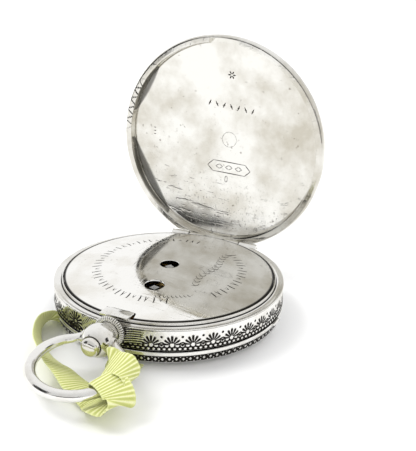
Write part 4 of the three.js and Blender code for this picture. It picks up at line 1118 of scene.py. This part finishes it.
def make_pendant():
    rim = BUTTON_R + 0.16
    reach = math.sqrt(BALL_R ** 2 - rim ** 2)
    depth = -reach + 2.4
    outline = [(0, depth), (rim - 0.02, depth), (rim, depth - 0.05), (rim, -reach + 0.12)]
    start = math.asin(rim / BALL_R) + 0.035
    end = math.pi - math.asin(NECK_R / BALL_R)
    for k in range(41):
        a = start + (end - start) * k / 40
        outline.append((BALL_R * math.sin(a), -BALL_R * math.cos(a)))
    neck = high("pendant_ball").y - BALL.y
    outline += [(NECK_R, neck - 0.4), (NECK_R + 0.05, neck), (0, neck)]
    ball = turned(outline, 128)
    ball.moved(about_y(BALL))
    solid("pendant_ball_silver", ball, polished, "case", ("pendant_ball",))
    collars = Shape()
    for side in (-1, 1):
        eye = [(WIRE_END_R + 0.12, -0.5), (WIRE_END_R + 0.62, -0.42), (WIRE_END_R + 0.55, 0.05),
               (WIRE_END_R + 0.3, 0.2), (WIRE_END_R + 0.12, 0.12)]
        verts, faces, _ = revolve(np.array(rounded(eye, 0.1, 3)), 48)
        x = BALL.x + side * (BALL_R + 0.05 + verts[:, 2])
        collars.add(np.column_stack([x, BALL.y + verts[:, 0], BALL.z + verts[:, 1]]), faces)
    solid("pendant_eyes", collars, polished, "case")
    lowest, highest = low("pendant_collar"), high("pendant_collar")
    thick = highest.y - lowest.y
    middle = (highest.y + lowest.y) / 2

    def knurl(theta, r, z):
        tooth = np.abs(np.sin(theta * 21)) ** 0.7
        outer = r > COLLAR_R - 0.35
        return outer * (0.26 * tooth - 0.26), outer * bump(tooth, 0.42)

    ring = rounded([(NECK_R + 0.12, -thick / 2), (COLLAR_R, -thick / 2), (COLLAR_R, thick / 2),
                    (NECK_R + 0.12, thick / 2)], 0.22, 4)
    verts, faces, dark = revolve(np.array(ring), 504, knurl)
    collar = Shape().add(verts, faces, dark=dark)
    collar.moved(about_y((BALL.x, middle, BALL.z)))
    solid("pendant_collar_knurled", collar, engraved, "case", ("pendant_collar",))


def make_button():
    length = 2.2
    cap = [(0, BUTTON_TIP)]
    for k in range(1, 13):
        a = k / 12 * 0.5 * math.pi
        cap.append((BUTTON_R * math.sin(a) ** 0.8, BUTTON_TIP + 0.85 * (1 - math.cos(a))))
    cap += [(BUTTON_R, BUTTON_TIP + length - 0.1), (BUTTON_R - 0.1, BUTTON_TIP + length),
            (0.7, BUTTON_TIP + length), (0.7, high("push_button").y), (0, high("push_button").y)]
    shape = turned(cap, 96)
    shape.moved(about_y((BALL.x, 0, BALL.z)))
    solid("push_button_cap", shape, polished, "push_button", ("push_button",))


def bow_path():
    """Centre line of the bow, from one side of the ball to the other."""
    start = math.asin((BOW_REACH - 0.35) / BOW_B)
    near = BALL_R + 1.1

    def at(across, reach):
        return (across, BALL.y - reach * math.cos(BOW_DROP), BALL.z - reach * math.sin(BOW_DROP))

    points = [at(BALL_R - 1.1, 0), at(BALL_R + 0.1, 0.02)]
    for k in range(27):
        t = -start + (math.pi + 2 * start) * k / 26
        across = BOW_A * math.cos(t)
        if 0 < t < math.pi or abs(across) > near:
            points.append(at(across, BOW_REACH + BOW_B * math.sin(t)))
    points += [at(-BALL_R - 0.1, 0.02), at(1.1 - BALL_R, 0)]
    return catmull(points, 8)


def make_bow():
    path = bow_path()
    share = np.linspace(0, 1, len(path))
    run = np.minimum(share, 1 - share) * 2
    radii = WIRE_END_R + (WIRE_R - WIRE_END_R) * np.clip((run - 0.08) / 0.3, 0, 1) ** 0.7
    shape = Shape().add(*tube(path, radii, 32))
    solid("bow_wire", shape, polished, "bow", ("bow",))


# ------------------------------------------------------------ dial and hands
NUMERALS = ["XII", "I", "II", "III", "IIII", "V", "VI", "VII", "VIII", "IX", "X", "XI"]


def dial_bar(shape, start, end, width, level, thick=0.05):
    start, end = np.array(start, float), np.array(end, float)
    way = (end - start) / np.linalg.norm(end - start)
    side = np.array([-way[1], way[0]]) * width / 2
    outline = [start - side, end - side, end + side, start + side]
    shape.add(*prism(outline, (level - thick, level + 0.02), lambda a, b, c: (a, b, c), 0))


def dial_angle(minutes):
    """Direction of a minute on the dial: twelve is at the pendant, seen from the back."""
    return (-90 + 6 * minutes) * DEG


def make_dial():
    front = low("dial").z
    radius = high("dial").x
    thick = high("dial").z - front
    sunk = pivot("fourth_turn")
    outline = rounded([(0, front), (radius - 0.4, front), (radius, front + 0.25),
                       (radius, front + thick), (0, front + thick)], 0.15, 3)
    outline = fine(outline, 1.0, closed=False)
    disc = turned(outline, 240)
    piece = solid("dial_plate", disc, white, "case", ("dial",))
    cut_holes(piece, [
        ("sub", drill(sunk, [(5.2, front - 1), (5.2, front + SUNK_DEPTH)], 96)),
        ("bore", drill(SETTING, [(1.7, front - 1), (1.7, front + 2)], 48)),
        ("post", drill(sunk, [(0.6, front - 1), (0.6, front + 2)], 32)),
    ])
    marks = Shape()
    numeral_ring, minute_ring, seconds_r = (14.4, 17.4), (18.4, 19.2), 4.9
    heavy, light = 0.42, 0.16
    for k, numeral in enumerate(NUMERALS):
        out = heading(dial_angle(5 * k))
        along = np.array([-out[1], out[0]])
        widths = {"I": 0.75, "V": 1.5, "X": 1.5}
        total = sum(widths[c] for c in numeral)
        at = -total / 2
        for letter in numeral:
            half = widths[letter] / 2
            at += half
            base, top = (out * ring + along * at for ring in numeral_ring)
            lean = along * half * 0.75
            if letter == "I":
                dial_bar(marks, base, top, heavy, front)
            if letter == "V":
                dial_bar(marks, base, top - lean, heavy, front)
                dial_bar(marks, base, top + lean, light, front)
            if letter == "X":
                dial_bar(marks, base + lean, top - lean, heavy, front)
                dial_bar(marks, base - lean, top + lean, light, front)
            at += half
        for ring in numeral_ring:
            edge = along * total / 2
            dial_bar(marks, out * ring - edge, out * ring + edge, 0.14, front)
    for k in range(60):
        out, after = heading(dial_angle(k)), heading(dial_angle(k + 1))
        start, end = (out * ring for ring in minute_ring)
        dial_bar(marks, start, end, 0.3 if k % 5 == 0 else 0.13, front)
        for ring in minute_ring:
            dial_bar(marks, out * ring, after * ring, 0.1, front)
        centre = np.array([sunk.x, sunk.y])
        inner_level = front + SUNK_DEPTH
        reach = 4.3 if k % 5 == 0 else 4.55
        tick = centre + out * seconds_r
        dial_bar(marks, centre + out * reach, tick, 0.09, inner_level)
        dial_bar(marks, tick, centre + after * seconds_r, 0.07, inner_level)
    solid("dial_markings", marks, black, "case", merge=False)


# ------------------------------------------------------------ floor and light
def sheet(name, width, depth, place):
    """A flat rectangle round a place."""
    mesh = bpy.data.meshes.new(name)
    w, h = width / 2, depth / 2
    mesh.from_pydata([(-w, -h, 0), (w, -h, 0), (w, h, 0), (-w, h, 0)], [], [(0, 1, 2, 3)])
    piece = bpy.data.objects.new(name, mesh)
    piece.location = place
    bpy.context.scene.collection.objects.link(piece)
    return piece


def make_stage():
    floor = sheet("floor", 3.2, 3.2, (0, 0, -0.00005))
    paint = Paint("floor_paper")
    colour = paint.mix(paint.noise(3, 3), rgb(0.9, 0.9, 0.9), rgb(0.87, 0.87, 0.87))
    paint.set(Base_Color=colour, Roughness=0.7)
    paint.relief(paint.noise(900, 3), 0.00002, 0.2)
    floor.data.materials.append(paint.material)


def card(name, centre, size, aim, shade):
    """A flat card that only shows in reflections."""
    piece = sheet(name, *size, centre)
    way = Vector(aim) - Vector(centre)
    piece.rotation_euler = way.to_track_quat("Z", "Y").to_euler()
    paint = Paint(name + "_paint")
    tone = paint.mix(paint.noise(4, 2), rgb(shade, shade, shade), rgb(*[shade * 0.8] * 3))
    paint.set(Base_Color=tone, Roughness=0.9)
    piece.data.materials.append(paint.material)
    piece.visible_camera = False
    piece.visible_shadow = False
    piece.visible_diffuse = False


def lamp(name, centre, aim, size, power, tint=(1, 1, 1)):
    data = bpy.data.lights.new(name, "AREA")
    data.shape, data.size, data.energy, data.color = "DISK", size, power, tint
    piece = bpy.data.objects.new(name, data)
    piece.location = centre
    way = Vector(aim) - Vector(centre)
    piece.rotation_euler = (-way).to_track_quat("Z", "Y").to_euler()
    piece.visible_glossy = False
    bpy.context.scene.collection.objects.link(piece)


def make_light():
    world = bpy.data.worlds.new("studio")
    bpy.context.scene.world = world
    world.use_nodes = True
    tree = world.node_tree
    sky = tree.nodes["Background"]
    place = tree.nodes.new("ShaderNodeTexCoord")
    split = tree.nodes.new("ShaderNodeSeparateXYZ")
    tree.links.new(place.outputs["Generated"], split.inputs["Vector"])
    ramp = tree.nodes.new("ShaderNodeMapRange")
    tree.links.new(split.outputs["Y"], ramp.inputs["Value"])
    for name, number in zip(("From Min", "From Max", "To Min", "To Max"), (-0.75, 0.2, 0.76, 1.0)):
        ramp.inputs[name].default_value = number
    tree.links.new(ramp.outputs["Result"], sky.inputs["Color"])
    sky.inputs["Strength"].default_value = 1.0
    aim = (0, 0, 0.015)
    lamp("key_light", (-0.35, -0.1, 0.5), aim, 0.35, 1.7)
    lamp("back_light", (0.1, 0.5, 0.42), aim, 0.4, 1.2)
    lamp("front_light", (0.4, -0.45, 0.3), aim, 0.3, 0.8)
    card("dark_card_left", (-0.22, -0.22, 0.05), (0.16, 0.3), aim, 0.02)
    card("dark_card_right", (0.22, -0.03, 0.075), (0.09, 0.1), (-0.02, 0.02, 0.03), 0.02)
    card("dark_card_front", (0.02, -0.5, 0.04), (0.5, 0.12), aim, 0.03)
    bpy.context.scene.view_settings.view_transform = "Standard"


# ------------------------------------------------------------ movement
FINISH = {
    "steel": steel, "blued_steel": blued, "gilt": gilt, "brass": brass,
}


def dress_movement():
    """Movement parts keep their CAD shape: softened edges and their own metal."""
    slots = {part["node"]: part["material_slot"] for part in frame["record"]["subparts"]}
    for name, piece in frame["nodes"].items():
        paint = FINISH.get(slots.get(name))
        if paint is None or piece.hide_render:
            continue
        if not piece.material_slots:
            piece.data.materials.append(paint)
        for place in piece.material_slots:
            place.material = paint
        piece.data.polygons.foreach_set("use_smooth", [True] * len(piece.data.polygons))
        piece.data.set_sharp_from_angle(angle=32 * DEG)
        edge = piece.modifiers.new("soft_edges", "BEVEL")
        edge.width, edge.segments, edge.limit_method = 0.00004, 2, "ANGLE"
        edge.angle_limit = 40 * DEG


make_band()
make_back_cover()
make_cuvette()
make_catch()
make_bezel()
make_pendant()
make_button()
make_bow()
make_dial()
dress_movement()
make_stage()
make_light()
